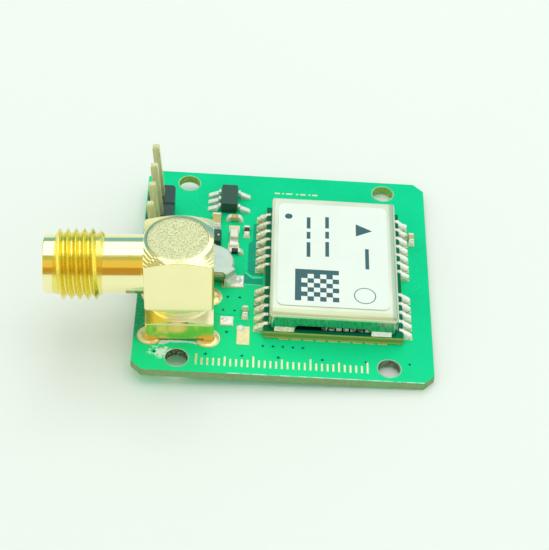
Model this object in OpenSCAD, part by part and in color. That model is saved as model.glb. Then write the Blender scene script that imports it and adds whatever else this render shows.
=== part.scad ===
// Satellite navigation development board: a castellated receiver module under a
// shield can, a right-angle coaxial jack, a pin header and a few chip parts.
// Millimetres. Origin at the centre of the four mounting holes, on the board's underside.
// +X runs away from the jack's barrel, +Y runs to the back edge, +Z is up.

/* [Board] */
// Width of the board along X
board_w = 26.5; // [26.2:0.1:30]
// Depth of the board along Y
board_d = 25.7; // [25.4:0.1:30]
// Thickness of the laminate
board_t = 0.8; // [0.6:0.1:1.6]
// Chamfer across each corner
board_chamfer = 0.95; // [0.3:0.05:1.4]
// Hole spacing along X
hole_pitch_x = 18.6; // [18.2:0.1:19.2]
// Hole spacing along Y
hole_pitch_y = 22.6; // [22.2:0.1:22.8]
// Diameter of a mounting hole
hole_dia = 2; // [1.8:0.1:2.2]
// Diameter of a via
via_dia = 0.3; // [0.2:0.05:0.4]
// Thickness of the plated copper lands
land_t = 0.05; // [0.03:0.01:0.08]

/* [Receiver module] */
// Width of the module's board along X
module_w = 12.4; // [12.2:0.1:12.6]
// Depth of the module's board along Y
module_d = 16; // [15.8:0.1:16.2]
// Thickness of the module's board
module_t = 0.8; // [0.6:0.1:1]
// Spacing of the castellated pads
pad_pitch = 1.1; // [1.05:0.01:1.12]
// Width of one pad
pad_w = 0.76; // [0.5:0.02:0.9]
// Width of the shield can
can_w = 11.4; // [10.8:0.1:11.4]
// Depth of the shield can
can_d = 15; // [14.4:0.1:15.2]
// Height of the shield can above the module's board
can_h = 2.1; // [1.5:0.1:2.4]
// Sheet thickness of the shield can
can_t = 0.2; // [0.15:0.01:0.25]
// Width of the vent slot in the can's front wall
slot_w = 6.6; // [4:0.1:8]
// Height of the vent slot
slot_h = 0.65; // [0.4:0.05:1]

/* [Coaxial jack] */
// Width of the square block
block_w = 6; // [5.8:0.05:6.2]
// Height of the barrel's axis above the board
axis_h = 6.5; // [6.2:0.1:6.8]
// Length of the barrel beyond the block
barrel_l = 8.6; // [8:0.1:10]
// Major diameter of the quarter inch thread
thread_dia = 6.25; // [6.1:0.01:6.4]
// Length of the threaded stretch
thread_l = 3.9; // [3:0.1:4.5]
// Diameter of the smooth barrel on either side of the thread
neck_dia = 5.14; // [5.1:0.02:5.4]
// Spacing of the four legs
leg_pitch = 5.08; // [5:0.01:5.1]
// Turn of the jack about its vertical axis, as soldered
jack_turn = 2.2; // [0:0.1:2.4]
// Droop of the barrel, as soldered
jack_droop = 1.9; // [0:0.1:2.4]
// How far the legs and the header tails reach below the board
tail_l = 0.9; // [0.6:0.05:1.6]

/* [Pin header] */
// Number of pins
pin_count = 4; // [2:1:4]
// Spacing of the pins
pin_pitch = 2.54; // [2.5:0.01:2.6]
// Side of a square pin
pin_w = 0.64; // [0.6:0.01:0.66]
// Height of the plastic base
base_h = 2.54; // [2.4:0.02:2.6]
// Length of a pin above the base
pin_free = 5.9; // [5:0.1:8]
// Lean of the free pins towards the board's left edge
pin_lean = 6; // [0:0.5:8]

/* [Backup cell] */
// Diameter of the cell
cell_dia = 4.4; // [4.2:0.1:4.5]
// Distance of the flat on its front from its axis
cell_flat = 1.6; // [1.2:0.02:1.8]
// Height of the cell
cell_h = 1.35; // [1:0.05:1.5]

/* [Hidden] */
$fn = 48;
gap = 0.01;
top = board_t;
seat = top + land_t;

// Places on the board, each [x, y]
module_at = [4.37, -0.43];
can_at = [module_at[0] - 0.07, module_at[1] - 0.24];
jack_at = [-9.25, -6.3];
header_at = [-11.75, 2.98];
cell_at = [-6.87, -0.66];
regulator_at = [-5.4, 8.75];
diode_at = [-6.6, 3.4];
led_at = [-4.8, 4.1];
inductor_at = [-3.5, -5.6];
// Each chip capacitor and resistor: [x, y, turn, length, width, height]
capacitors = [
    [-6.5, 6.05, 90, 1.6, 0.8, 0.5],
    [-4.83, 6.5, 0, 1, 0.5, 0.5],
    [11.8, 5, 90, 1, 0.5, 0.5]
];
resistors = [
    [-3.63, 4.93, 90, 1, 0.5, 0.35],
    [-4.68, 2.1, 0, 1, 0.5, 0.35]
];
// Vias in plain lines: [first x, y, step, count]
via_rows = [
    [-11.31, -10.7, 4.5, 2], [-3.62, -10.7, 3.2, 2], [3.43, -10.7, 3.84, 3],
    [-1.8, -9.4, 0.88, 5], [-5.1, -3.62, 1.08, 2], [-5.47, -5.28, 1.04, 2],
    [-5.06, -7.95, 1, 1]
];

// The module's pads on one side: seven at the back, a gap, five at the front
front_pads = 5;
back_pads = 7;
pad_edge = 1;
pad_gap = 3;
pad_y = [
    for (i = [0 : front_pads - 1]) -module_d / 2 + pad_edge + pad_pitch * i,
    for (i = [0 : back_pads - 1])
        -module_d / 2 + pad_edge + pad_pitch * (front_pads - 1 + i) + pad_gap
];
module_z = seat;
module_top = module_z + module_t;
pad_reach = 0.88;
pad_under = 0.9;
castellation_r = 0.25;
front_land_count = 9;
front_land_d = 0.6;

// The jack in its own frame: origin on its vertical axis at the board's middle plane
jack_mid = board_t / 2;
standoff = 0.25;
base_top = 2.15;
waist_h = 1.1;
cube_bottom = standoff + base_top + waist_h;
cube_top = 2 * axis_h - cube_bottom + 0.06;
chamfer_drop = 0.42;
top_drop = 0.66;
leg_w = 0.9;
leg_hole_dia = 1.8;
tail_dia = 0.9;
tail_hole_dia = 1.3;
contact_dia = 1.27;
contact_bore = 0.94;
dielectric_dia = 4.1;
mouth_dia = 4.6;
mouth_l = 1.9;
cap_dia = 5.32;
cap_at = [-0.08, 0.04];
cap_t = 0.68;
cap_recess = 0.7;
lead_in = 0.9;

header_hole_dia = 1;
header_y0 = (pin_count - 1) * pin_pitch / 2;
base_w = 2.5;

// A rectangle in the plane with round corners
module round_rect(w, d, r) {
    square([w - 2 * r, d], center = true);
    square([w, d - 2 * r], center = true);
    for (sx = [-1, 1], sy = [-1, 1])
        translate([sx * (w / 2 - r), sy * (d / 2 - r)])
            circle(r);
}

// A block standing on z = 0 with round upright corners
module round_block(w, d, h, r) {
    linear_extrude(h)
        round_rect(w, d, r);
}

// A block standing on z = 0
module brick(w, d, h) {
    translate([-w / 2, -d / 2, 0])
        cube([w, d, h]);
}

// A profile in X and Z, drawn out along Y and centred on it
module along_y(depth) {
    translate([0, depth / 2, 0])
        rotate([90, 0, 0])
            linear_extrude(depth)
                children();
}

// A profile in Y and Z, drawn out along X and centred on it
module along_x(width) {
    rotate([0, 0, 90])
        along_y(width)
            children();
}

// A moulded body with drafted sides, widest at its middle
module moulded_body(w, d, h, draft) {
    intersection() {
        along_y(d)
            drafted_outline(w, h, draft);
        along_x(w)
            drafted_outline(d, h, draft);
    }
}

module drafted_outline(w, h, draft) {
    polygon([
        [-w / 2 + draft, 0], [w / 2 - draft, 0], [w / 2, h / 2],
        [w / 2 - draft, h], [-w / 2 + draft, h], [-w / 2, h / 2]
    ]);
}

// A ring standing on z = 0
module ring(outer_d, inner_d, h) {
    difference() {
        cylinder(h = h, d = outer_d);
        translate([0, 0, -1])
            cylinder(h = h + 2, d = inner_d);
    }
}

// Copies of the children at the four corners of a rectangle
module at_corners(px, py) {
    for (sx = [-1, 1], sy = [-1, 1])
        translate([sx * px / 2, sy * py / 2, 0])
            children();
}

// Copies of the children at each header pin
module at_pins() {
    for (i = [0 : pin_count - 1])
        translate([header_at[0], header_at[1] + header_y0 - i * pin_pitch, 0])
            children();
}

// Moves the jack's own frame to its place, turned and drooping as soldered
module jack_place() {
    translate([jack_at[0], jack_at[1], jack_mid])
        rotate([0, 0, jack_turn])
            rotate([0, -jack_droop, 0])
                children();
}

// Lays children that stand on z = 0 along the barrel, mouth outwards
module along_barrel() {
    translate([0, 0, jack_mid + axis_h])
        rotate([0, -90, 0])
            children();
}

// CIRCUIT BOARD

module board_outline() {
    c = board_chamfer;
    x = board_w / 2;
    y = board_d / 2;
    polygon([
        [-x + c, -y], [x - c, -y], [x, -y + c], [x, y - c],
        [x - c, y], [-x + c, y], [-x, y - c], [-x, -y + c]
    ]);
}

module board_drill(d) {
    translate([0, 0, -1])
        cylinder(h = board_t + 2, d = d);
}

module circuit_board() {
    color([0.07, 0.62, 0.42])
        difference() {
            linear_extrude(board_t)
                board_outline();
            at_corners(hole_pitch_x, hole_pitch_y)
                board_drill(hole_dia);
            translate([jack_at[0], jack_at[1], 0]) {
                at_corners(leg_pitch, leg_pitch)
                    board_drill(leg_hole_dia);
                board_drill(tail_hole_dia);
            }
            at_pins()
                board_drill(header_hole_dia);
            for (row = via_rows, i = [0 : row[3] - 1])
                translate([row[0] + row[2] * i, row[1], 0])
                    board_drill(via_dia);
        }
}

// COPPER LANDS

module land(w, d) {
    brick(w, d, land_t);
}

module round_land_pair(outer_d, inner_d) {
    for (z = [-land_t, top])
        translate([0, 0, z])
            ring(outer_d, inner_d, land_t);
}

module module_lands() {
    span = pad_under + pad_reach;
    for (side = [-1, 1], y = pad_y)
        translate([side * (module_w / 2 + (pad_reach - pad_under) / 2), y, 0])
            land(span, pad_w);
    for (i = [0 : front_land_count - 1])
        translate([(i - (front_land_count - 1) / 2) * pad_pitch, front_land_d / 2 - 0.09, 0])
            translate([0, -module_d / 2, 0])
                land(0.85, front_land_d);
}

module chip_lands(length, width, land_l = 0.42) {
    under = 0.11;
    for (side = [-1, 1])
        translate([side * (length / 2 + land_l / 2 - under), 0, 0])
            land(land_l, width + 0.1);
}

module copper_lands() {
    color([0.93, 0.86, 0.6]) {
        translate([0, 0, top]) {
            translate([module_at[0], module_at[1], 0])
                module_lands();
            for (part = concat(capacitors, resistors))
                translate([part[0], part[1], 0])
                    rotate([0, 0, part[2]])
                        chip_lands(part[3], part[4]);
            translate([led_at[0], led_at[1], 0])
                rotate([0, 0, 90])
                    chip_lands(1.6, 0.9, 0.9);
            translate([inductor_at[0], inductor_at[1], 0])
                rotate([0, 0, 90])
                    chip_lands(1, 0.5);
            translate([diode_at[0], diode_at[1], 0])
                rotate([0, 0, 90])
                    chip_lands(2.2, 0.5);
            translate([regulator_at[0], regulator_at[1], 0])
                regulator_feet()
                    translate([1.55, 0, 0])
                        land(0.9, 0.5);
            // A bare test land, a free land beside it and the cell's two lands
            translate([-3.58, -8.3, 0])
                land(1.13, 2.2);
            translate([-5.1, -6.68, 0])
                land(1.2, 1.1);
            for (side = [-1, 1])
                translate([cell_at[0] + side * 2.15, cell_at[1] - side * 1.05, 0])
                    land(2, 1.5);
        }
        translate([jack_at[0], jack_at[1], 0]) {
            at_corners(leg_pitch, leg_pitch)
                round_land_pair(2.25, leg_hole_dia);
            round_land_pair(1.9, tail_hole_dia);
        }
        at_pins()
            round_land_pair(1.7, header_hole_dia);
    }
}

// COAXIAL JACK

// The turned form that the square bar is cut to: chamfered ends and a waist
module jack_turning() {
    r = block_w / 2;
    corner = r * sqrt(2) + 0.1;
    low = jack_mid + standoff;
    rotate_extrude($fn = 96)
        polygon([
            [0, low], [corner, low],
            [corner, low + base_top - chamfer_drop], [r - 0.06, low + base_top],
            [r - 0.1, low + base_top + 0.1],
            [r - 0.1, jack_mid + cube_bottom - 0.1],
            [r - 0.06, jack_mid + cube_bottom],
            [corner, jack_mid + cube_bottom + chamfer_drop],
            [corner, jack_mid + cube_top - top_drop],
            [r - 0.04, jack_mid + cube_top - 0.07],
            [r - 0.34, jack_mid + cube_top], [0, jack_mid + cube_top]
        ]);
}

module jack_block() {
    intersection() {
        translate([0, 0, jack_mid])
            round_block(block_w, block_w, cube_top + 1, 0.25);
        jack_turning();
    }
}

// The barrel's outside, from the block's middle to the mouth
module jack_barrel() {
    face = block_w / 2;
    mouth = face + barrel_l;
    thread_end = mouth - lead_in;
    thread_start = thread_end - thread_l;
    neck = neck_dia / 2;
    crest = thread_dia / 2;
    run = crest - neck;
    along_barrel()
        rotate_extrude($fn = 96)
            polygon([
                [0, 0], [neck, 0], [neck, thread_start - run * 0.6],
                [crest, thread_start], [crest, thread_end - run * 0.6],
                [neck, thread_end], [neck, mouth - 0.15],
                [neck - 0.15, mouth], [0, mouth]
            ]);
}

module jack_legs() {
    at_corners(leg_pitch, leg_pitch)
        translate([0, 0, -jack_mid - tail_l])
            brick(leg_w, leg_w, tail_l + 2 * jack_mid + standoff + 0.5);
}

module jack_bores() {
    mouth = block_w / 2 + barrel_l;
    axis_z = jack_mid + axis_h;
    along_barrel() {
        translate([0, 0, -dielectric_dia / 2])
            cylinder(h = mouth + dielectric_dia, d = dielectric_dia);
        translate([0, 0, mouth - mouth_l])
            cylinder(h = mouth_l + 1, d = mouth_dia);
    }
    translate([0, 0, axis_z])
        cylinder(h = cube_top - axis_h + 1, d = dielectric_dia);
    translate([cap_at[0], cap_at[1], jack_mid + cube_top - cap_recess])
        cylinder(h = cap_recess + 1, d = cap_dia);
    translate([0, 0, -1])
        cylinder(h = axis_z, d = 2.5);
}

module jack_body() {
    color([0.9, 0.75, 0.3])
        jack_place()
            difference() {
                union() {
                    jack_block();
                    jack_barrel();
                    jack_legs();
                }
                jack_bores();
            }
}

module jack_cap() {
    color([0.86, 0.82, 0.6])
        jack_place()
            translate([cap_at[0], cap_at[1], jack_mid + cube_top - cap_recess])
                cylinder(h = cap_t, d = cap_dia);
}

// The white insulator that fills the barrel, bored for the contact
module jack_insulator() {
    back = 1.3;
    front = block_w / 2 + barrel_l - mouth_l;
    color([0.95, 0.95, 0.93])
        jack_place()
            along_barrel()
                translate([0, 0, back])
                    ring(dielectric_dia, contact_dia, front - back);
}

// The slotted socket contact, with a thin end that enters the tail pin
module jack_contact() {
    front = block_w / 2 + barrel_l - mouth_l;
    socket = 2.6;
    slit = 0.16;
    color([0.92, 0.76, 0.32])
        jack_place()
            along_barrel()
                difference() {
                    union() {
                        translate([0, 0, 0.7])
                            cylinder(h = front - 0.7, d = contact_dia);
                        cylinder(h = 1, d = 0.5);
                    }
                    translate([0, 0, front - socket])
                        cylinder(h = socket + 1, d = contact_bore);
                    for (turn = [0, 90])
                        rotate([0, 0, turn])
                            translate([-1, -slit / 2, front - socket + 0.4])
                                cube([2, slit, socket]);
                }
}

module jack_tail_pin() {
    head = 0.6;
    axis_z = jack_mid + axis_h;
    color([0.92, 0.76, 0.32])
        jack_place()
            difference() {
                union() {
                    translate([0, 0, -jack_mid - tail_l])
                        cylinder(h = axis_z + jack_mid + tail_l, d = tail_dia);
                    translate([0, 0, axis_z - 1])
                        cylinder(h = 1 + head, d = 1.3);
                }
                translate([0, 0, axis_z])
                    rotate([0, -90, 0])
                        cylinder(h = 1, d = 0.5);
            }
}

module jack_tail_insulator() {
    low = jack_mid + standoff;
    color([0.95, 0.95, 0.93])
        jack_place()
            translate([0, 0, low])
                ring(2.5, tail_dia, axis_h - 1.6);
}

// Solder that fills a drilled hole round a leg, with a fillet above and below
module hole_solder(hole_d, land_d, tip_d, rise, fall) {
    translate([0, 0, -land_t - gap])
        cylinder(h = board_t + 2 * (land_t + gap), d = hole_d);
    translate([0, 0, top + land_t])
        cylinder(h = rise, d1 = land_d, d2 = tip_d);
    translate([0, 0, -land_t - fall])
        cylinder(h = fall, d1 = tip_d, d2 = land_d);
}

module jack_solder() {
    color([0.9, 0.87, 0.72])
        difference() {
            translate([jack_at[0], jack_at[1], 0]) {
                at_corners(leg_pitch, leg_pitch)
                    hole_solder(leg_hole_dia, 2.1, 1.5, standoff - 0.16, 0.7);
                hole_solder(tail_hole_dia, 1.7, 1.1, 0.06, 0.7);
            }
            jack_place() {
                jack_legs();
                translate([0, 0, -3])
                    cylinder(h = 6, d = tail_dia);
            }
        }
}

// PIN HEADER

// One cell of the header's base seen from above, with its corners cut
module header_cell() {
    cut = 0.24;
    w = base_w / 2;
    d = pin_pitch / 2;
    polygon([
        [-w + cut, -d], [w - cut, -d], [w, -d + cut], [w, d - cut],
        [w - cut, d], [-w + cut, d], [-w, d - cut], [-w, -d + cut]
    ]);
}

module header_base() {
    color([0.07, 0.09, 0.1])
        difference() {
            translate([0, 0, seat])
                linear_extrude(base_h)
                    at_pins()
                        header_cell();
            at_pins()
                brick(pin_w, pin_w, base_h + 3);
            for (i = [1 : pin_count - 1])
                translate([header_at[0], header_at[1] + header_y0 - (i - 0.5) * pin_pitch, 0])
                    translate([0, 0, seat + base_h])
                        along_x(base_w + 1)
                            polygon([[-0.15, 0.01], [0.15, 0.01], [0, -0.16]]);
        }
}

// A square pin with its end chamfered
module pointed_pin(length) {
    tip = 0.22;
    flat = 0.44;
    intersection() {
        along_y(pin_w)
            pin_outline(length, tip, flat);
        along_x(pin_w)
            pin_outline(length, tip, flat);
    }
}

module pin_outline(length, tip, flat) {
    w = pin_w / 2;
    polygon([
        [-w, 0], [w, 0], [w, length - tip], [flat / 2, length],
        [-flat / 2, length], [-w, length - tip]
    ]);
}

module header_pins() {
    bend = seat + base_h;
    color([0.8, 0.74, 0.45])
        at_pins() {
            translate([0, 0, bend])
                mirror([0, 0, 1])
                    pointed_pin(bend + tail_l);
            translate([0, 0, bend])
                rotate([0, -pin_lean, 0])
                    pointed_pin(pin_free);
        }
}

module header_solder() {
    color([0.9, 0.88, 0.8])
        difference() {
            at_pins() {
                cylinder(h = board_t, d = header_hole_dia);
                translate([0, 0, top - gap])
                    cylinder(h = land_t + gap, d = header_hole_dia);
                translate([0, 0, -land_t])
                    cylinder(h = land_t + gap, d = header_hole_dia);
                translate([0, 0, -land_t - 0.5])
                    cylinder(h = 0.5, d1 = 0.95, d2 = 1.6);
            }
            at_pins()
                translate([0, 0, -3])
                    brick(pin_w, pin_w, 6);
        }
}

// RECEIVER MODULE

module module_place() {
    translate([module_at[0], module_at[1], 0])
        children();
}

// The module's board with a half-round plated notch at each pad
module module_board() {
    color([0.45, 0.5, 0.28])
        module_place()
            difference() {
                translate([0, 0, module_z])
                    brick(module_w, module_d, module_t);
                for (side = [-1, 1], y = pad_y)
                    translate([side * module_w / 2, y, module_z - 1])
                        cylinder(h = module_t + 2, r = castellation_r);
            }
}

// The joint seen from above: parallel sides and a round tip
module joint_plan(reach, w) {
    translate([-1, -w / 2])
        square([1 + reach - w / 2, w]);
    translate([reach - w / 2, 0])
        circle(d = w);
}

// One solder joint: a round ridge from the lip on the module's board down to the land's tip
module castellation_solder() {
    reach = pad_reach - 0.01;
    w = pad_w - 0.1;
    lip_h = 0.1;
    tip_h = 0.34;
    lip_l = 0.42;
    fall = atan2(module_t + lip_h - tip_h, reach);
    axis_z = module_t + lip_h - w / 2 / cos(fall);
    intersection() {
        linear_extrude(module_t + 1)
            joint_plan(reach, w);
        union() {
            translate([0, 0, axis_z])
                rotate([0, 90 + fall, 0])
                    translate([0, 0, -1])
                        cylinder(h = 3, d = w, $fn = 24);
            along_y(w)
                polygon([[0, 0], [reach - 0.1, 0], [0, axis_z]]);
        }
        translate([0, -1, 0])
            cube([reach + 1, 2, module_t + 1]);
    }
    intersection() {
        translate([-lip_l, 0, module_t + lip_h - w / 2])
            rotate([0, 90, 0])
                cylinder(h = lip_l + gap, d = w, $fn = 24);
        translate([-1, -1, module_t])
            cube([1 + gap, 2, 1]);
    }
    intersection() {
        cylinder(h = module_t, r = castellation_r);
        translate([-1, -1, 0])
            cube([1, 2, module_t]);
    }
}

module module_solder() {
    color([0.88, 0.87, 0.76])
        module_place()
            for (side = [-1, 1], y = pad_y)
                translate([side * module_w / 2, y, module_z])
                    mirror([side < 0 ? 1 : 0, 0, 0])
                        castellation_solder();
}

// The outline of the can's cross-section, with its upper edges rounded
module can_section(w, h, r) {
    translate([-w / 2, 0])
        square([w, h - r]);
    translate([-w / 2 + r, 0])
        square([w - 2 * r, h]);
    for (side = [-1, 1])
        translate([side * (w / 2 - r), h - r])
            circle(r);
}

module can_form(w, d, h, edge, corner) {
    intersection() {
        along_y(d)
            can_section(w, h, edge);
        along_x(w)
            can_section(d, h, edge);
        round_block(w, d, h, corner);
    }
}

// The vent slot: a notch in the foot of the wall with round upper corners
module vent_slot() {
    r = 0.3;
    along_y(2) {
        translate([-slot_w / 2, -1])
            square([slot_w, 1 + slot_h - r]);
        translate([-slot_w / 2 + r, -1])
            square([slot_w - 2 * r, 1 + slot_h]);
        for (side = [-1, 1])
            translate([side * (slot_w / 2 - r), slot_h - r])
                circle(r);
    }
}

module shield_can() {
    color([0.84, 0.86, 0.78])
        translate([can_at[0], can_at[1], module_top])
            difference() {
                can_form(can_w, can_d, can_h, 0.28, 0.45);
                translate([0, 0, -can_t])
                    can_form(can_w - 2 * can_t, can_d - 2 * can_t, can_h, 0.1, 0.25);
                translate([0, -can_d / 2, 0])
                    vent_slot();
            }
}

// Solder beads that hold the can's front corners and its back wall
module can_solder() {
    front = -can_d / 2;
    ledge = module_d / 2 + can_at[1] - module_at[1] - can_d / 2;
    bead_l = (can_w - slot_w) / 2 - 0.6;
    color([0.9, 0.88, 0.76])
        translate([can_at[0], can_at[1], module_top]) {
            for (side = [-1, 1])
                translate([side * (slot_w / 2 + bead_l / 2 + 0.1), front, 0])
                    solder_wedge(bead_l, ledge - 0.02, 0.45, -1);
            translate([0, -front, 0])
                solder_wedge(can_w - 3, 0.4, 0.35, 1);
        }
}

// A wedge of solder along X against a wall at y = 0
module solder_wedge(length, reach, rise, side) {
    along_x(length)
        polygon([
            [0, 0], [side * reach, 0], [side * reach * 0.4, rise * 0.35], [0, rise]
        ]);
}

module module_label() {
    color([0.95, 0.98, 0.95])
        translate([module_at[0] - 0.18, module_at[1] - 0.15, module_top + can_h])
            round_block(10, 13.1, 0.08, 0.9);
}

// PARTS UNDER THE SHIELD CAN

module inside_can(x, y) {
    translate([can_at[0] + x, can_at[1] + y, module_top])
        children();
}

module receiver_chip() {
    color([0.08, 0.08, 0.09])
        inside_can(-0.6, 0.6)
            difference() {
                brick(5, 5, 0.85);
                translate([-2, 2, 0.8])
                    cylinder(h = 1, d = 0.5);
            }
}

module clock_oscillator() {
    color([0.75, 0.72, 0.6])
        inside_can(3.7, 1.8) {
            round_block(2, 2.5, 0.6, 0.15);
            translate([0, 0, 0.6])
                round_block(1.7, 2.2, 0.15, 0.2);
        }
}

module signal_filter() {
    color([0.8, 0.78, 0.7])
        inside_can(-1.9, -5.6)
            round_block(1.4, 1.1, 0.5, 0.1);
}

module low_noise_amplifier() {
    color([0.07, 0.07, 0.08])
        inside_can(0.3, -5.6)
            brick(1.5, 1.0, 0.5);
}

module clock_crystal() {
    color([0.8, 0.8, 0.76])
        inside_can(3.6, -2.6)
            round_block(1.2, 2, 0.5, 0.15);
}

// Small chip parts: rows beside the main chip and a row behind the vent slot
module module_passives() {
    chip = [1, 0.5, 0.35];
    step = 1.4;
    color([0.62, 0.52, 0.38]) {
        for (i = [0 : 4])
            inside_can(-3.6 + i * step, -3.9)
                brick(chip[1], chip[0], chip[2]);
        for (i = [0 : 3])
            inside_can(-4.3, -0.6 + i * step)
                brick(chip[0], chip[1], chip[2]);
        for (x = [2, 3.4])
            inside_can(x, -5.7)
                brick(chip[0], chip[1], chip[2]);
        for (i = [0 : 6])
            inside_can(-0.76 + i * 0.64, -6.77)
                brick(chip[1], chip[0], chip[2]);
    }
}

// BACKUP CELL

cell_turn = -46;
cell_z = seat + 0.1;
cap_side_h = 0.92;
tab_t = 0.1;
tab_w = 1.15;
tab_shift = 0.42;
tab_edge = cell_dia / 2 + 0.01;
tab_run = 0.06;
tab_foot = 0.14;

// The cell's own frame: its tabs run along X, turned on the board
module cell_frame(extra = 0) {
    translate([cell_at[0], cell_at[1], 0])
        rotate([0, 0, cell_turn + extra])
            children();
}

// The cell seen from above: a circle with a flat to the front, drawn in by an inset
module cell_outline(inset) {
    r = cell_dia / 2 - inset;
    intersection() {
        circle(r);
        translate([-r, inset - cell_flat])
            square([2 * r, 2 * r]);
    }
}

// The sealed cell: a pressed can crimped over a smaller lid that faces the board
module backup_cell() {
    bevel = 0.1;
    color([0.8, 0.82, 0.8])
        translate([cell_at[0], cell_at[1], cell_z]) {
            linear_extrude(cap_side_h)
                cell_outline(0.4);
            translate([0, 0, cap_side_h])
                linear_extrude(cell_h - cap_side_h - bevel)
                    cell_outline(0);
            translate([0, 0, cell_h - bevel])
                linear_extrude(bevel)
                    cell_outline(bevel);
        }
}

// The tab on top: a sheet over the can, a bend at its edge, a slope and a foot
module cell_top_tab() {
    rise = cell_z - seat + cell_h;
    run = tab_run;
    foot = tab_foot;
    color([0.84, 0.86, 0.82])
        translate([0, 0, seat]) {
            translate([cell_at[0], cell_at[1], rise])
                linear_extrude(tab_t)
                    cell_outline(0.12);
            cell_frame()
                translate([0, tab_shift, 0])
                    along_y(tab_w)
                        polygon([
                            [tab_edge - 0.8, rise], [tab_edge - 0.8, rise + tab_t],
                            [tab_edge, rise + tab_t], [tab_edge + 0.1, rise],
                            [tab_edge + run + 0.08, tab_t],
                            [tab_edge + run + foot, tab_t],
                            [tab_edge + run + foot, 0], [tab_edge + run, 0],
                            [tab_edge, rise]
                        ]);
        }
}

// The tab underneath: a flat strip that runs out to the back
module cell_bottom_tab() {
    color([0.84, 0.86, 0.82])
        cell_frame(180)
            translate([0.2, tab_shift, seat])
                brick_from(tab_edge + 0.1, tab_w, tab_t);
}

// A block standing on z = 0 that starts at x = 0 and is centred along Y
module brick_from(length, width, height) {
    translate([0, -width / 2, 0])
        cube([length, width, height]);
}

// REGULATOR AND DIODE

// Copies of the children at the regulator's feet, each facing outwards
module regulator_feet() {
    pitch = 0.95;
    for (i = [-1, 0, 1])
        translate([0, i * pitch, 0])
            rotate([0, 0, 180])
                children();
    for (i = [-1, 1])
        translate([0, i * pitch, 0])
            children();
}

// A bent lead: a foot on the land, a slope and a shoulder that enters the body
module gull_lead(inner, outer, foot, shoulder, w) {
    t = 0.13;
    knee = outer - foot;
    along_y(w)
        polygon([
            [knee, 0], [outer, 0], [outer, t], [knee + 0.1, t],
            [inner + 0.22, shoulder + t], [inner, shoulder + t],
            [inner, shoulder], [inner + 0.1, shoulder]
        ]);
}

module regulator_body() {
    color([0.15, 0.24, 0.22])
        translate([regulator_at[0], regulator_at[1], seat + 0.05])
            moulded_body(1.6, 2.9, 1.1, 0.1);
}

module regulator_leads() {
    color([0.86, 0.88, 0.8])
        translate([regulator_at[0], regulator_at[1], seat])
            regulator_feet()
                gull_lead(0.8, 1.45, 0.42, 0.54, 0.4);
}

module diode_body() {
    color([0.12, 0.2, 0.18])
        translate([diode_at[0], diode_at[1], seat + 0.03])
            moulded_body(1.25, 1.7, 0.85, 0.07);
}

module diode_leads() {
    color([0.86, 0.88, 0.8])
        translate([diode_at[0], diode_at[1], seat])
            for (turn = [90, -90])
                rotate([0, 0, turn])
                    gull_lead(0.85, 1.25, 0.26, 0.4, 0.32);
}

// CHIP PARTS

// Puts children at a chip part's place and turn
module chip_place(part) {
    translate([part[0], part[1], seat])
        rotate([0, 0, part[2]])
            children();
}

chip_end = 0.22;

// The ceramic of a chip part, between its plated ends
module chip_body(length, w, h) {
    translate([0, 0, 0.02])
        brick(length - 2 * chip_end, w - 0.03, h - 0.03);
}

module chip_ends(length, w, h) {
    for (side = [-1, 1])
        translate([side * (length - chip_end) / 2, 0, 0])
            brick(chip_end, w, h);
}

module capacitor_bodies() {
    color([0.78, 0.7, 0.45])
        for (part = capacitors)
            chip_place(part)
                chip_body(part[3], part[4], part[5]);
}

module capacitor_ends() {
    color([0.93, 0.93, 0.9])
        for (part = capacitors)
            chip_place(part)
                chip_ends(part[3], part[4], part[5]);
}

module resistor_bodies() {
    color([0.08, 0.1, 0.1])
        for (part = resistors)
            chip_place(part)
                chip_body(part[3], part[4], part[5]);
}

module resistor_ends() {
    color([0.93, 0.93, 0.9])
        for (part = resistors)
            chip_place(part)
                chip_ends(part[3], part[4], part[5]);
}

led_part = [led_at[0], led_at[1], 90, 1.6, 0.8, 0.3];
led_reach = 0.5;

// The lamp: a white base with a clear moulded block on it, one sealed piece
module indicator_led() {
    color([0.93, 0.94, 0.86])
        chip_place(led_part) {
            chip_body(1.6, 0.83, 0.3);
            translate([0, 0, 0.29])
                moulded_body(1.1, 0.8, 0.3, 0.06);
        }
}

module indicator_ends() {
    color([0.93, 0.93, 0.88])
        chip_place(led_part)
            chip_ends(1.6, 0.86, 0.27);
}

inductor_part = [inductor_at[0], inductor_at[1], 90, 1, 0.5, 0.5];

module inductor_body() {
    color([0.6, 0.75, 0.5])
        chip_place(inductor_part)
            chip_body(1, 0.5, 0.5);
}

module inductor_ends() {
    color([0.93, 0.93, 0.9])
        chip_place(inductor_part)
            chip_ends(1, 0.5, 0.5);
}

// Solder fillets at the ends of the chip parts, on the lands
module end_fillets(length, w, h, reach = 0.28) {
    for (side = [-1, 1])
        translate([side * length / 2, 0, 0])
            along_y(w)
                polygon([
                    [0, 0], [side * reach, 0], [side * (reach - 0.02), h * 0.2],
                    [side * reach * 0.6, h * 0.62], [0, h * 0.9]
                ]);
}

module tab_land_place() {
    translate([cell_at[0] + 2.15, cell_at[1] - 1.05, seat])
        children();
}

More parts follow.
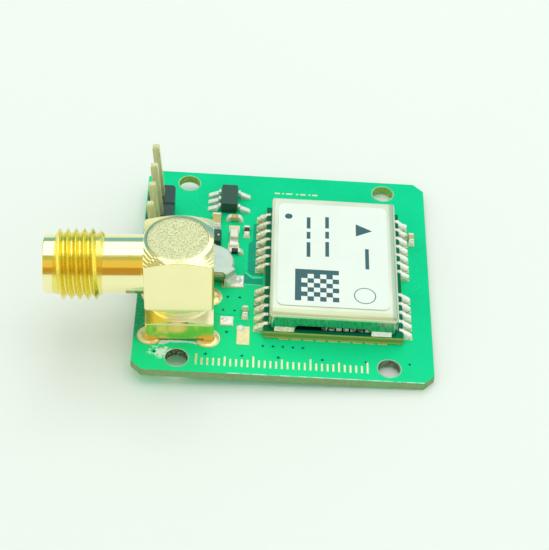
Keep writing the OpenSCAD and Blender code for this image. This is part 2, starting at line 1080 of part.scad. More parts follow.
// Solder spread over the cell's front land, round the tab's foot and up its slope
module tab_solder() {
    rise = cell_z - seat + cell_h;
    foot_end = tab_edge + tab_run + tab_foot;
    difference() {
        union() {
            tab_land_place()
                brick(1.94, 1.44, 0.14);
            intersection() {
                tab_land_place()
                    brick(1.94, 1.44, 2);
                cell_frame()
                    translate([0, tab_shift, seat])
                        along_y(tab_w + 0.16)
                            polygon([
                                [tab_edge, 0], [foot_end + 0.25, 0],
                                [foot_end + 0.16, 0.3],
                                [tab_edge + tab_run + 0.16, 0.72], [tab_edge, 1.1]
                            ]);
            }
            translate([cell_at[0] + 2.55, cell_at[1] - 0.98, seat])
                cylinder(h = 0.42, d1 = 1.1, d2 = 0.4);
        }
        translate([cell_at[0], cell_at[1], 0])
            cylinder(h = 5, r = cell_dia / 2 + 0.03);
        cell_frame()
            translate([0, tab_shift, seat])
                along_y(tab_w)
                    polygon([
                        [0, -1], [0, rise + 1], [tab_edge + 0.1, rise + 1],
                        [tab_edge + 0.1, rise], [tab_edge + tab_run + 0.08, tab_t],
                        [foot_end, tab_t], [foot_end, -1]
                    ]);
    }
}

module chip_solder() {
    color([0.92, 0.92, 0.86]) {
        for (part = concat(capacitors, resistors, [inductor_part]))
            chip_place(part)
                end_fillets(part[3], part[4], part[5]);
        chip_place(led_part)
            end_fillets(led_part[3], led_part[4], led_part[5], led_reach);
        tab_solder();
        translate([regulator_at[0], regulator_at[1], seat])
            regulator_feet()
                along_y(0.46)
                    polygon([
                        [1.13, 0.13], [1.065, 0.45], [1.3, 0.36], [1.7, 0.18],
                        [1.97, 0.06], [1.97, 0], [1.45, 0], [1.45, 0.13]
                    ]);
        translate([diode_at[0], diode_at[1], seat])
            for (turn = [90, -90])
                rotate([0, 0, turn])
                    translate([1.25, 0, 0])
                        along_y(0.34)
                            polygon([[0, 0], [0.2, 0], [0, 0.12]]);
        // A drop of solder left at the back end of the test land
        translate([-3.85, -7.45, seat])
            cylinder(h = 0.16, d1 = 0.8, d2 = 0.4);
        // A free land with solder spread over it
        translate([-5.1, -6.68, seat]) {
            brick(1.12, 1.02, 0.1);
            translate([-0.18, 0.08, 0.1 - gap])
                cylinder(h = 0.09, d1 = 0.6, d2 = 0.3);
        }
    }
}

circuit_board();
copper_lands();
jack_body();
jack_cap();
jack_insulator();
jack_contact();
jack_tail_pin();
jack_tail_insulator();
jack_solder();
header_base();
header_pins();
header_solder();
module_board();
module_solder();
shield_can();
can_solder();
module_label();
receiver_chip();
clock_oscillator();
signal_filter();
low_noise_amplifier();
clock_crystal();
module_passives();
backup_cell();
cell_top_tab();
cell_bottom_tab();
regulator_body();
regulator_leads();
diode_body();
diode_leads();
indicator_led();
indicator_ends();
capacitor_bodies();
capacitor_ends();
resistor_bodies();
resistor_ends();
inductor_body();
inductor_ends();
chip_solder();
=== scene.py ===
import math

import bmesh
import bpy
from bpy.props import FloatProperty, FloatVectorProperty, PointerProperty
from mathutils import Matrix, Vector


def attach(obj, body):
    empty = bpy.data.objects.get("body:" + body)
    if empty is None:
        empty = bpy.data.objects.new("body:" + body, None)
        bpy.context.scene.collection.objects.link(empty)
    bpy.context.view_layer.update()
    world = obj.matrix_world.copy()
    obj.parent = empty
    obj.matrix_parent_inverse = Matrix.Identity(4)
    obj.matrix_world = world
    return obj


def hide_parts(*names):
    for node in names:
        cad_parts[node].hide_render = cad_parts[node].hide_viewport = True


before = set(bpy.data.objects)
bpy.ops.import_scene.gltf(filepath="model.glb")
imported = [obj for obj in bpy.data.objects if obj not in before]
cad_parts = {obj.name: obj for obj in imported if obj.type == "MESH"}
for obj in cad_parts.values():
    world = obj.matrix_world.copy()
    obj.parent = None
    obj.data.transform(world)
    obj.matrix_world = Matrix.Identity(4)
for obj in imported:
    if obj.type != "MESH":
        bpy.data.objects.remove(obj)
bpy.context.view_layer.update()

bl_info = {
    "name": "Navigation board looks",
    "version": (1, 0, 0),
    "blender": (4, 5, 0),
    "location": "3D View > Sidebar > Board",
    "description": "Pieces, finishes and stage of a navigation receiver board with a coaxial jack",
    "category": "Object",
}

MM = 0.001

# Places in mm in the board's frame, as the solid model has them
BOARD_TOP = 0.8
CAN_X = 4.3
CAN_TOP = 3.75
LABEL_AT = Vector((4.19, -0.58))
JACK_AT = (-9.25, -6.3)
HOLES_AT = (9.3, 11.3)
JACK_FRAME = (
    Matrix.Translation((JACK_AT[0] * MM, JACK_AT[1] * MM, 0.4 * MM))
    @ Matrix.Rotation(math.radians(2.2), 4, "Z")
    @ Matrix.Rotation(math.radians(-1.9), 4, "Y")
)
JACK_AXIS = 6.9
# How deep the thin pieces on the board reach into it, in mm
SUNK = 0.02


# SIZES AND COLOURS THAT A USER MAY CHANGE

def length(name, default_mm, text):
    """A length property that is given in mm and kept in metres."""
    return FloatProperty(
        name=name, description=text, default=default_mm * MM, min=0.0, unit="LENGTH", precision=5
    )


def tint(name, hex_code, text):
    """A colour property from a web colour."""
    return FloatVectorProperty(
        name=name, description=text, default=linear(hex_code), size=3, subtype="COLOR",
        min=0.0, max=1.0
    )


def linear(hex_code):
    """A web colour as linear red, green and blue."""
    parts = [int(hex_code[i:i + 2], 16) / 255 for i in (1, 3, 5)]
    return tuple(c / 12.92 if c <= 0.04045 else ((c + 0.055) / 1.055) ** 2.4 for c in parts)


class JackLooks(bpy.types.PropertyGroup):
    """Sizes and colours of the coaxial jack"""
    thread_dia: length("Thread diameter", 6.25, "Diameter over the thread's crests")
    root_dia: length("Root diameter", 5.34, "Diameter at the thread's root")
    pitch: length("Thread pitch", 0.7056, "Distance from one crest to the next")
    neck_dia: length("Barrel diameter", 5.14, "Diameter of the smooth barrel")
    edge: length("Edge radius", 0.09, "Rounding of the milled edges")
    gold: tint("Gold", "#fffac2", "Plating of the jack's body")


class BoardLooks(bpy.types.PropertyGroup):
    """Sizes and colours of the circuit board"""
    edge: length("Edge radius", 0.05, "Rounding of the board's edges")
    track: length("Track height", 0.02, "How far a track stands up under the mask")
    mask: tint("Solder mask", "#0cd996", "Green lacquer over copper")
    bare_mask: tint("Mask over laminate", "#12a883", "Green lacquer where there is no copper")
    laminate: tint("Laminate", "#86a070", "Cut edge of the glass laminate")
    land: tint("Gold lands", "#efe6b0", "Plating of the bare lands")


class ModuleLooks(bpy.types.PropertyGroup):
    """Sizes and colours of the receiver module"""
    voxel: length("Solder grain", 0.038, "Grid of the solder's surface")
    tinplate: tint("Can", "#dfe6d0", "Tinned sheet of the shield can")
    solder: tint("Solder", "#fffde2", "Solder at the module's edge pads")
    paper: tint("Label", "#edf9ee", "Label film")
    ink: tint("Ink", "#1f5a60", "Print on the label")


class StageLooks(bpy.types.PropertyGroup):
    """Light and floor"""
    overhead: FloatProperty(
        name="Overhead light", description="Power of the overhead light panels", default=0.4,
        min=0.0, unit="POWER"
    )
    fill: FloatProperty(
        name="Fill light", description="Level of the light from all sides", default=0.82, min=0.0
    )
    floor: tint("Floor", "#eff7ef", "Pale table top")


# SHARED TOOLS

def release():
    """Leaves edit mode and selects nothing."""
    active = bpy.context.view_layer.objects.active
    if active is not None and active.mode != "OBJECT":
        bpy.ops.object.mode_set(mode="OBJECT")
    bpy.ops.object.select_all(action="DESELECT")


def hold(*objs):
    """Selects these objects only and makes the last one active."""
    release()
    for obj in objs:
        obj.select_set(True)
    bpy.context.view_layer.objects.active = objs[-1]


def settle(obj, name):
    """Puts the object's place into its mesh and names it."""
    hold(obj)
    bpy.ops.object.transform_apply(location=True, rotation=True, scale=True)
    obj.name = name
    obj.data.name = name
    return obj


def open_mesh(obj):
    """Enters edit mode with nothing selected."""
    hold(obj)
    bpy.ops.object.mode_set(mode="EDIT")
    bpy.ops.mesh.select_all(action="DESELECT")
    return bmesh.from_edit_mesh(obj.data)


def pick_upright(mesh, shortest):
    """Selects the upright edges longer than this, in metres."""
    bpy.ops.mesh.select_mode(type="EDGE")
    for edge in mesh.edges:
        rise = edge.verts[0].co - edge.verts[1].co
        edge.select_set(abs(rise.z) > shortest)
    mesh.select_flush(False)


def close_mesh(obj):
    """Makes all faces point outwards and leaves edit mode."""
    bpy.ops.mesh.select_mode(type="VERT")
    bpy.ops.mesh.select_all(action="SELECT")
    bpy.ops.mesh.normals_make_consistent(inside=False)
    bpy.ops.object.mode_set(mode="OBJECT")
    return obj


def block(name, low, high):
    """A box between two corners, in mm."""
    low, high = Vector(low) * MM, Vector(high) * MM
    release()
    bpy.ops.mesh.primitive_cube_add(size=1, location=(low + high) / 2, scale=high - low)
    return settle(bpy.context.object, name)


def rod(name, centre, radius, low, high, sides=48):
    """A round bar that stands on z = low, in mm."""
    release()
    bpy.ops.mesh.primitive_cylinder_add(
        vertices=sides, radius=radius * MM, depth=(high - low) * MM,
        location=(centre[0] * MM, centre[1] * MM, (low + high) / 2 * MM)
    )
    return settle(bpy.context.object, name)


def plate(name, outline, low, high):
    """A flat plate with this outline, in mm, drawn anticlockwise."""
    release()
    bpy.ops.mesh.primitive_circle_add(vertices=len(outline), radius=MM, fill_type="NGON")
    obj = bpy.context.object
    mesh = open_mesh(obj)
    mesh.verts.ensure_lookup_table()
    for vert, point in zip(mesh.verts, outline):
        vert.co = Vector((point[0], point[1], low)) * MM
    bpy.ops.mesh.select_all(action="SELECT")
    bpy.ops.mesh.extrude_region_move(TRANSFORM_OT_translate={"value": (0, 0, (high - low) * MM)})
    return settle(close_mesh(obj), name)


def strip(name, points, width, low, high):
    """A flat strip along a line of points, with mitred corners, in mm."""
    sides = []
    for i, point in enumerate(points):
        here = Vector(point)
        before = (here - Vector(points[i - 1])).normalized() if i else None
        after = (Vector(points[i + 1]) - here).normalized() if i + 1 < len(points) else None
        along = ((before or after) + (after or before)).normalized()
        across = Vector((-along.y, along.x))
        grow = 1 / max(0.3, along.dot(after or before))
        sides.append((here + across * width / 2 * grow, here - across * width / 2 * grow))
    outline = [s[1] for s in sides] + [s[0] for s in reversed(sides)]
    return plate(name, outline, low, high)


def walk(name, points, closed=False):
    """A line of edges through points in the X and Z plane, in mm, drawn by extruding a vertex."""
    release()
    bpy.ops.mesh.primitive_plane_add(size=MM)
    obj = bpy.context.object
    open_mesh(obj)
    bpy.ops.mesh.select_all(action="SELECT")
    bpy.ops.mesh.merge(type="CENTER")
    mesh = bmesh.from_edit_mesh(obj.data)
    mesh.verts.ensure_lookup_table()
    mesh.verts[0].co = (points[0][0] * MM, 0, points[0][1] * MM)
    for a, b in zip(points, points[1:] + (points[:1] if closed else [])):
        step = ((b[0] - a[0]) * MM, 0, (b[1] - a[1]) * MM)
        bpy.ops.mesh.extrude_region_move(TRANSFORM_OT_translate={"value": step})
    bpy.ops.mesh.select_all(action="SELECT")
    bpy.ops.mesh.remove_doubles(threshold=1e-7)
    obj.name = name
    return obj


def turned(name, points, steps=96, closed=False):
    """A lathe part about Z from a profile of radius and height, in mm."""
    obj = walk(name, points, closed)
    bpy.ops.mesh.select_all(action="SELECT")
    bpy.ops.mesh.spin(steps=steps, angle=2 * math.pi, center=(0, 0, 0), axis=(0, 0, 1))
    bpy.ops.mesh.select_all(action="SELECT")
    bpy.ops.mesh.remove_doubles(threshold=1e-7)
    return settle(close_mesh(obj), name)


def modified(obj, kind, **values):
    """Adds a modifier, sets its values and applies it."""
    hold(obj)
    modifier = obj.modifiers.new(kind.lower(), kind)
    for key, value in values.items():
        setattr(modifier, key, value)
    bpy.ops.object.modifier_apply(modifier=modifier.name)
    return obj


def cut(obj, tool, operation="DIFFERENCE"):
    """Cuts the object with another, which is used up."""
    modified(obj, "BOOLEAN", object=tool, operation=operation, solver="EXACT")
    bpy.data.objects.remove(tool)
    return obj


def smooth(obj, angle):
    """Shades curved faces smooth and leaves the edges sharper than the angle."""
    hold(obj)
    bpy.ops.object.shade_smooth_by_angle(angle=math.radians(angle))
    return obj


def weighed(obj):
    """Lets the large faces keep their shading up to their rounded edges."""
    hold(obj)
    bpy.ops.mesh.customdata_custom_splitnormals_clear()
    # The faces are too small in metres to be weighed, so the mesh is a thousand times larger meanwhile
    moved(obj, Matrix.Scale(1 / MM, 4))
    modified(obj, "WEIGHTED_NORMAL", mode="FACE_AREA", weight=90, thresh=0.0, keep_sharp=True)
    return moved(obj, Matrix.Scale(MM, 4))


def crease(obj, radius, height):
    """Marks the ring of edges at this radius and height, in mm, as sharp."""
    mesh = open_mesh(obj)
    bpy.ops.mesh.select_mode(type="EDGE")
    for edge in mesh.edges:
        edge.select_set(all(
            abs(math.hypot(v.co.x, v.co.y) / MM - radius) < 0.03 and abs(v.co.z / MM - height) < 0.015
            for v in edge.verts
        ))
    mesh.select_flush(False)
    bpy.ops.mesh.mark_sharp()
    return close_mesh(obj)


def soften(obj, width, segments=2, angle=30):
    """Rounds the edges sharper than the angle and keeps the flat faces flat."""
    modified(
        obj, "BEVEL", width=width, segments=segments, limit_method="ANGLE",
        angle_limit=math.radians(angle), use_clamp_overlap=True
    )
    return weighed(smooth(obj, angle + 12))


def joined(name, objs):
    """Joins objects into one piece."""
    hold(*objs)
    if len(objs) > 1:
        bpy.ops.object.join()
    return settle(bpy.context.view_layer.objects.active, name)


def moved(obj, matrix):
    """Moves the mesh, not the object."""
    obj.data.transform(matrix)
    obj.data.update()
    return obj


def merged_copy(node, name):
    """A copy of a solid's mesh with its triangles joined into whole flat faces."""
    obj = bpy.data.objects.new(name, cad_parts[node].data.copy())
    bpy.context.scene.collection.objects.link(obj)
    open_mesh(obj)
    bpy.ops.mesh.select_all(action="SELECT")
    bpy.ops.mesh.remove_doubles(threshold=3e-7)
    bpy.ops.mesh.dissolve_limited(angle_limit=math.radians(0.6))
    bpy.ops.mesh.select_all(action="SELECT")
    bpy.ops.object.mode_set(mode="OBJECT")
    return obj


def lumpy(obj, grain, height, level, detail=1):
    """Makes a surface of fine faces uneven, with lumps of this size and height in mm."""
    cloud = bpy.data.textures.new(obj.name + "_lumps", "CLOUDS")
    cloud.noise_scale = grain * MM
    cloud.noise_depth = detail
    modified(
        obj, "DISPLACE", texture=cloud, strength=height * MM, mid_level=level,
        texture_coords="GLOBAL"
    )
    return smooth(obj, 180)


def molten(node, name, voxel, lump, grain, passes=8, level=0.45):
    """A solder piece: the solid's form made of fine even faces, relaxed and made uneven."""
    obj = merged_copy(node, name)
    modified(obj, "REMESH", mode="VOXEL", voxel_size=voxel, adaptivity=0.0)
    modified(obj, "SMOOTH", factor=0.5, iterations=passes)
    return lumpy(obj, grain, lump * 2, level)


def piece(obj, finish, slot, *nodes):
    """Dresses a piece, lets it ride on the board and hides the solids that it stands for."""
    obj.data.materials.clear()
    obj.data.materials.append(finish)
    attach(obj, "root")
    if nodes:
        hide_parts(*nodes)
    return obj


def refined(node, name, finish, slot, edge, segments=2, angle=30):
    """Stands for a solid: its own form with its edges rounded, by this many mm, and a finish."""
    return piece(soften(merged_copy(node, name), edge * MM, segments, angle), finish, slot, node)


# FINISHES

class Nodes:
    """A node tree that is built up step by step."""

    def __init__(self, tree):
        self.tree = tree

    def add(self, kind, **values):
        node = self.tree.nodes.new(kind)
        for key, value in values.items():
            setattr(node, key, value)
        return node

    def put(self, socket, value):
        """Links an output to a socket, or gives the socket a constant."""
        if isinstance(value, bpy.types.NodeSocket):
            self.tree.links.new(value, socket)
        elif isinstance(value, (tuple, list)) and len(value) == 3 and socket.type == "RGBA":
            socket.default_value = (*value, 1)
        else:
            socket.default_value = value

    def fill(self, node, *values):
        """Puts values into a node's first inputs and gives its first output."""
        for socket, value in zip(node.inputs, values):
            self.put(socket, value)
        return node.outputs[0]

    def calc(self, operation, *values):
        return self.fill(self.add("ShaderNodeMath", operation=operation), *values)

    def line(self, value, slope, start):
        return self.calc("MULTIPLY_ADD", value, slope, start)

    def over(self, value, limit):
        """One where the value is above the limit, otherwise zero."""
        return self.calc("GREATER_THAN", value, limit)

    def under(self, value, limit):
        return self.calc("LESS_THAN", value, limit)

    def both(self, first, *others):
        """The product, which is one only where every part is one."""
        for part in others:
            first = self.calc("MULTIPLY", first, part)
        return first

    def between(self, value, low, high):
        return self.both(self.over(value, low), self.under(value, high))

    def most(self, first, *others):
        for part in others:
            first = self.calc("MAXIMUM", first, part)
        return first

    def distance(self, x, y):
        return self.calc("SQRT", self.calc("ADD", self.both(x, x), self.both(y, y)))

    def split(self, vector):
        node = self.add("ShaderNodeSeparateXYZ")
        self.put(node.inputs[0], vector)
        return node.outputs

    def ranged(self, value, start, end, low=0.0, high=1.0):
        """The value's place between start and end, as a number from low to high."""
        return self.fill(self.add("ShaderNodeMapRange"), value, start, end, low, high)

    def ramp(self, fac, *stops):
        """A soft change of tone; each stop is a place and a grey or a colour."""
        node = self.add("ShaderNodeValToRGB")
        elements = node.color_ramp.elements
        while len(elements) < len(stops):
            elements.new(0.5)
        for element, (place, tone) in zip(elements, stops):
            element.position = place
            element.color = (*((tone,) * 3 if isinstance(tone, (int, float)) else tuple(tone)), 1)
        return self.fill(node, fac)

    def mix(self, fac, a, b):
        """Goes from colour a to colour b."""
        node = self.add("ShaderNodeMix", data_type="RGBA")
        for i, value in ((0, fac), (6, a), (7, b)):
            self.put(node.inputs[i], value)
        return node.outputs[2]

    def blend(self, fac, a, b):
        """Goes from shader a to shader b."""
        return self.fill(self.add("ShaderNodeMixShader"), fac, a, b)


class Finish(Nodes):
    """A node material with patterns in mm."""

    def __init__(self, name, colour, roughness, metallic=0.0, **sockets):
        self.material = bpy.data.materials.new(name)
        self.material.use_nodes = True
        super().__init__(self.material.node_tree)
        self.shader = self.tree.nodes["Principled BSDF"]
        sockets.update(Base_Color=tuple(colour), Roughness=roughness, Metallic=metallic)
        for socket, value in sockets.items():
            self.put(self.shader.inputs[socket.replace("_", " ")], value)
        self.mm = self.scaled((1000, 1000, 1000), self.add("ShaderNodeTexCoord").outputs["Object"])

    def scaled(self, scale, source):
        node = self.add("ShaderNodeMapping")
        node.inputs["Scale"].default_value = scale
        return self.fill(node, source)

    def noise(self, scale, detail=3.0, stretch=None, rough=0.5, warp=0.0):
        """Cloudy noise: a larger scale is finer, and a stretch packs it along X, Y and Z."""
        node = self.add("ShaderNodeTexNoise")
        for name, value in (
            ("Scale", scale), ("Detail", detail), ("Roughness", rough), ("Distortion", warp),
            ("Vector", self.scaled(stretch, self.mm) if stretch else self.mm),
        ):
            self.put(node.inputs[name], value)
        return node.outputs["Fac"]

    def normal(self):
        return self.split(self.add("ShaderNodeNewGeometry").outputs["Normal"])

    def facing_up(self):
        """One where a face lies level, zero on walls."""
        return self.over(self.calc("ABSOLUTE", self.normal()[2]), 0.5)

    def colour(self, value):
        self.put(self.shader.inputs["Base Color"], value)

    def clouds(self, pattern, *stops):
        """A colour that changes with a pattern."""
        self.colour(self.ramp(pattern, *stops))

    def roughness(self, fac, low, high):
        self.put(self.shader.inputs["Roughness"], self.ranged(fac, 0.0, 1.0, low, high))

    def dull(self, share):
        """Takes this share from the metal, which then shows more of its own colour."""
        self.put(self.shader.inputs["Metallic"], self.calc("SUBTRACT", 1.0, share))

    def relief(self, height, depth, under=None):
        """Bump of this depth in mm, laid over an earlier bump."""
        node = self.add("ShaderNodeBump")
        node.inputs["Strength"].default_value = 1.0
        node.inputs["Distance"].default_value = depth * MM
        self.put(node.inputs["Height"], height)
        if under is not None:
            self.put(node.inputs["Normal"], under)
        self.put(self.shader.inputs["Normal"], node.outputs[0])
        return node.outputs[0]


def shaded(colour, factor):
    """A colour made darker or lighter."""
    return tuple(min(1.0, c * factor) for c in colour)


def plated_gold(name, colour):
    """Gold plating: faint clouding, fine grain and a little uneven gloss."""
    finish = Finish(name, colour, 0.1, metallic=1.0)
    finish.clouds(finish.noise(0.9, 2.0), (0.3, shaded(colour, 0.93)), (0.7, colour))
    finish.roughness(finish.noise(5.0), 0.075, 0.13)
    return finish, finish.relief(finish.noise(22.0), 0.0015)


def jack_gold(colour):
    """The jack's plating: lathe rings on the chamfers, a gloss that differs by place, and painted
    reflections and painted shade in its colour by place.
    """
    finish, fine = plated_gold("jack_gold", colour)
    along, y, height = finish.split(finish.mm)
    radius = finish.distance(
        finish.calc("SUBTRACT", along, JACK_AT[0]), finish.calc("SUBTRACT", y, JACK_AT[1])
    )
    sideways, _, upwards = finish.normal()
    across, tilt = finish.calc("ABSOLUTE", sideways), finish.calc("ABSOLUTE", upwards)
    uneven = finish.line(finish.noise(2.0), 0.1, radius)
    rings = finish.calc("SINE", finish.both(uneven, 2 * math.pi / 0.27))
    chamfers = finish.both(
        finish.between(tilt, 0.25, 0.95), finish.over(radius, 3.0), finish.over(along, -12.62)
    )
    finish.relief(finish.both(rings, chamfers), 0.005, fine)

    # Zones, each one inside and zero outside
    block_left = finish.over(along, -12.4)
    thread = finish.between(along, -20.15, -15.9)
    base = finish.both(finish.under(height, 3.0), finish.over(along, -12.6), finish.under(tilt, 0.6))
    above_base = finish.calc("SUBTRACT", 1.0, base)
    turned_part = finish.most(finish.under(radius, 2.97), finish.over(tilt, 0.25))
    waist = finish.both(finish.under(height, 5.1), block_left, turned_part, above_base)
    left = finish.ramp(finish.line(along, -0.25, -1.9), (0.2, 0.0), (0.8, 1.0))
    side_edge = finish.both(
        finish.between(across, 0.2, 0.97), finish.over(along, -6.6), finish.over(height, 5.0),
        finish.under(tilt, 0.2)
    )
    ledge = finish.both(finish.over(height, 2.71), base)
    brow = finish.both(
        finish.under(tilt, 0.6), finish.between(height, 4.0, 4.68), finish.over(radius, 2.97),
        above_base, block_left
    )
    shade = finish.both(finish.between(along, -13.9, -12.35), finish.under(height, 6.8))

    gold = finish.ramp(finish.noise(0.4, 2.0), (0.3, shaded(colour, 0.97)), (0.7, colour))
    # Tone of the shade zone: painted shade darkens the barrel's lower part beside the block, going pale
    # higher up
    painted_shade_tone = finish.ramp(
        finish.calc("SUBTRACT", height, 6.0), (0.2, (0.2, 0.3, 0.08)), (0.5, (0.98, 0.92, 0.5))
    )
    # Painted reflections and painted shade laid into the gold: deeper gold in the thread, saturated yellow
    # on the waist's left and pale on its right, deeper yellow on the base with a paler band along its top,
    # a darker band at the foot of the block's faces and along its right-hand upright edges, and the shade
    # zone's tone
    for zone, tone in (
        (thread, (colour[0] * 0.92, colour[1] * 0.86, colour[2] * 0.42)),
        (finish.both(waist, left), (1.0, 0.84, 0.2)),
        (base, (1.0, colour[1] * 0.8, colour[2] * 0.36)),
        (finish.both(waist, finish.calc("SUBTRACT", 1.0, left)), (1.0, 0.9, 0.6)),
        (brow, (0.94, 0.76, 0.3)), (side_edge, (0.8, 0.62, 0.12)), (shade, painted_shade_tone),
        (ledge, (0.98, 0.9, 0.42)),
    ):
        gold = finish.mix(zone, gold, tone)
    finish.colour(gold)
    blurred = finish.most(*(
        finish.both(zone, share) for zone, share in ((thread, 0.45), (base, 0.3), (waist, 0.45))
    ))
    finish.roughness(finish.line(finish.noise(0.8, 2.0), 0.33, blurred), 0.04, 0.4)
    finish.dull(finish.most(*(finish.both(zone, share) for zone, share in (
        (waist, finish.line(left, -0.36, 0.6)), (brow, 0.5), (side_edge, 0.5), (shade, 0.8),
        (base, 0.16), (ledge, 0.75),
    ))))
    return finish.material


def cast_gold(colour):
    """The access cap: paler gold with a pebbled surface."""
    finish = Finish("cap_gold", colour, 0.3, metallic=1.0)
    pebble = finish.noise(11.0, 1.0, (0.8, 1.1, 1.0), warp=0.6)
    # The pebbles' hollows are painted darker, as painted shade
    finish.clouds(pebble, (0.36, shaded(colour, 0.5)), (0.5, shaded(colour, 0.84)), (0.62, colour))
    finish.roughness(pebble, 0.24, 0.36)
    finish.relief(finish.noise(20.0, 2.0), 0.006, finish.relief(pebble, 0.035))
    return finish.material


def bright_metal(name, colour, roughness=0.3, lumps=2.0, grain=0.004, stretch=None, metal=1.0):
    """Solder, tin or steel: clouded colour, uneven gloss and a fine relief."""
    finish = Finish(name, colour, roughness, metallic=metal)
    cloud = finish.noise(lumps, 4.0, stretch)
    finish.clouds(cloud, (0.3, shaded(colour, 0.84)), (0.72, shaded(colour, 1.04)))
    finish.roughness(finish.noise(lumps * 2.5, 3.0, stretch), roughness * 0.7, roughness * 1.35)
    finish.relief(finish.noise(18.0, 3.0, stretch), grain)
    return finish.material


def pad_solder(colour):
    """Solder in the module's notches: painted shade makes it olive in clouds on the left, and a painted
    highlight makes it almost white on the right.
    """
    finish = Finish("solder_pads", colour, 0.24)
    right = finish.over(finish.split(finish.mm)[0], CAN_X)
    cloud = finish.noise(4.0, 4.0)
    # The left side's olive clouds are painted shade, and the right side's near white is a painted highlight
    olive = finish.ramp(cloud, (0.32, shaded(colour, 0.66)), (0.55, shaded(colour, 1.12)))
    white = finish.ramp(cloud, (0.3, (0.88, 0.92, 0.84)), (0.6, (1.0, 1.0, 0.96)))
    finish.colour(finish.mix(right, olive, white))
    finish.dull(finish.line(right, 0.38, 0.54))
    finish.roughness(finish.noise(8.0), 0.14, 0.34)
    finish.relief(finish.noise(18.0), 0.012)
    return finish.material


def tinplate(colour):
    """The shield can: tin on top with painted reflections along its front and right edges; its walls
    streaked and painted darker as painted shade, with a painted highlight as a pale band along their top.
    """
    finish = Finish("can_tinplate", colour, 0.3)
    top = finish.facing_up()
    x, y, z = finish.split(finish.mm)
    # The band along the walls' top, where a painted highlight lies
    rim_highlight = finish.ramp(finish.calc("SUBTRACT", z, BOARD_TOP + 2.2), (0.2, 0.0), (0.34, 0.85))
    # Painted reflections on the top: a darker yellowish strip along the front edge, and a grey-green band
    # near the right edge
    front = finish.ramp(finish.line(y, -1.0, -7.0), (0.4, 0.0), (0.62, 0.8))
    reflected_stripe = finish.ramp(
        finish.calc("SUBTRACT", x, 9.25), (0.1, 0.0), (0.3, 0.75), (0.55, 0.75), (0.72, 0.0)
    )
    lid = finish.ramp(finish.noise(0.3), (0.3, shaded(colour, 0.9)), (0.7, shaded(colour, 1.03)))
    lid = finish.mix(front, lid, shaded((colour[0], colour[1], colour[2] * 0.8), 0.84))
    lid = finish.mix(reflected_stripe, lid, (0.33, 0.46, 0.34))
    # The walls are painted darker than the top as painted shade, with streaks
    streaks = finish.noise(2.2, 4.0, (3.0, 3.0, 0.5))
    walls = finish.ramp(streaks, (0.35, shaded(colour, 0.42)), (0.6, shaded(colour, 0.72)))
    walls = finish.mix(rim_highlight, walls, (0.95, 0.98, 0.66))
    finish.colour(finish.mix(top, walls, lid))
    finish.roughness(finish.line(top, 0.8, finish.noise(1.2)), 0.16, 0.32)
    bent = finish.both(finish.under(finish.normal()[2], 0.985), rim_highlight)
    finish.dull(finish.most(finish.both(top, 0.15), finish.both(bent, 0.7)))
    finish.relief(finish.noise(6.0), 0.0012)
    return finish.material


def moulded(name, colour, roughness):
    """Moulded black plastic: a fine even grain with paler dust in it."""
    finish = Finish(name, colour, roughness)
    finish.clouds(finish.noise(14.0, 4.0), (0.45, colour), (0.8, tuple(c + 0.036 for c in colour)))
    finish.roughness(finish.noise(6.0), roughness * 0.85, roughness * 1.2)
    finish.relief(finish.noise(26.0), 0.006)
    return finish.material


def fired(name, colour, roughness=0.35, spread=0.12):
    """Ceramic: a clouded, slightly grained body."""
    finish = Finish(name, colour, roughness)
    cloud = finish.noise(5.0, 4.0)
    finish.clouds(cloud, (0.3, shaded(colour, 1 - spread)), (0.7, shaded(colour, 1 + spread)))
    finish.roughness(finish.noise(9.0, 2.0), roughness * 0.8, roughness * 1.2)
    finish.relief(finish.noise(30.0, 2.0), 0.003)
    return finish.material


def cut_laminate(finish, colour):
    """The sawn edge of glass laminate: layers, pale fibre ends and darker resin."""
    layers = finish.noise(3.0, 4.0, (1.0, 1.0, 9.0))
    fibres = finish.noise(16.0, 3.0, (1.0, 1.0, 2.5))
    body = finish.ramp(
        layers, (0.3, shaded(colour, 0.62)), (0.52, colour), (0.72, shaded(colour, 1.4))
    )
    # The laminate's tone turns greener in broad patches, partly a painted reflection of the green lacquer
    tint_and_reflection = finish.ramp(finish.noise(0.3), (0.42, 0.0), (0.62, 0.5))
    body = finish.mix(tint_and_reflection, body, (colour[0] * 0.55, colour[1] * 1.3, colour[2]))
    return finish.mix(finish.both(fibres, 0.35), body, shaded(colour, 1.7)), layers


def lacquered(name, mask):
    """Begins green lacquer: its finish, the colour of its faces and the weave under it."""
    finish = Finish(name, mask, 0.3, Specular_IOR_Level=0.03)
    face = finish.ramp(finish.noise(0.16, 2.0), (0.35, shaded(mask, 0.93)), (0.68, shaded(mask, 1.06)))
    weave = finish.noise(3.2)
    return finish, finish.mix(finish.both(weave, 0.12), face, shaded(mask, 0.8)), weave


def cut_and_lacquered(finish, face, weave, wall, layers):
    """Ends green lacquer: it covers the level faces, and all cut walls show bare laminate."""
    up = finish.facing_up()
    finish.colour(finish.mix(up, wall, face))
    gloss = finish.calc("ADD", finish.noise(1.5, 2.0), 0.5)
    finish.roughness(finish.line(up, -0.7, gloss), 0.14, 0.55)
    flat = finish.relief(finish.both(weave, up), 0.004)
    finish.relief(finish.both(layers, finish.calc("SUBTRACT", 1.0, up)), 0.03, flat)
    return finish.material


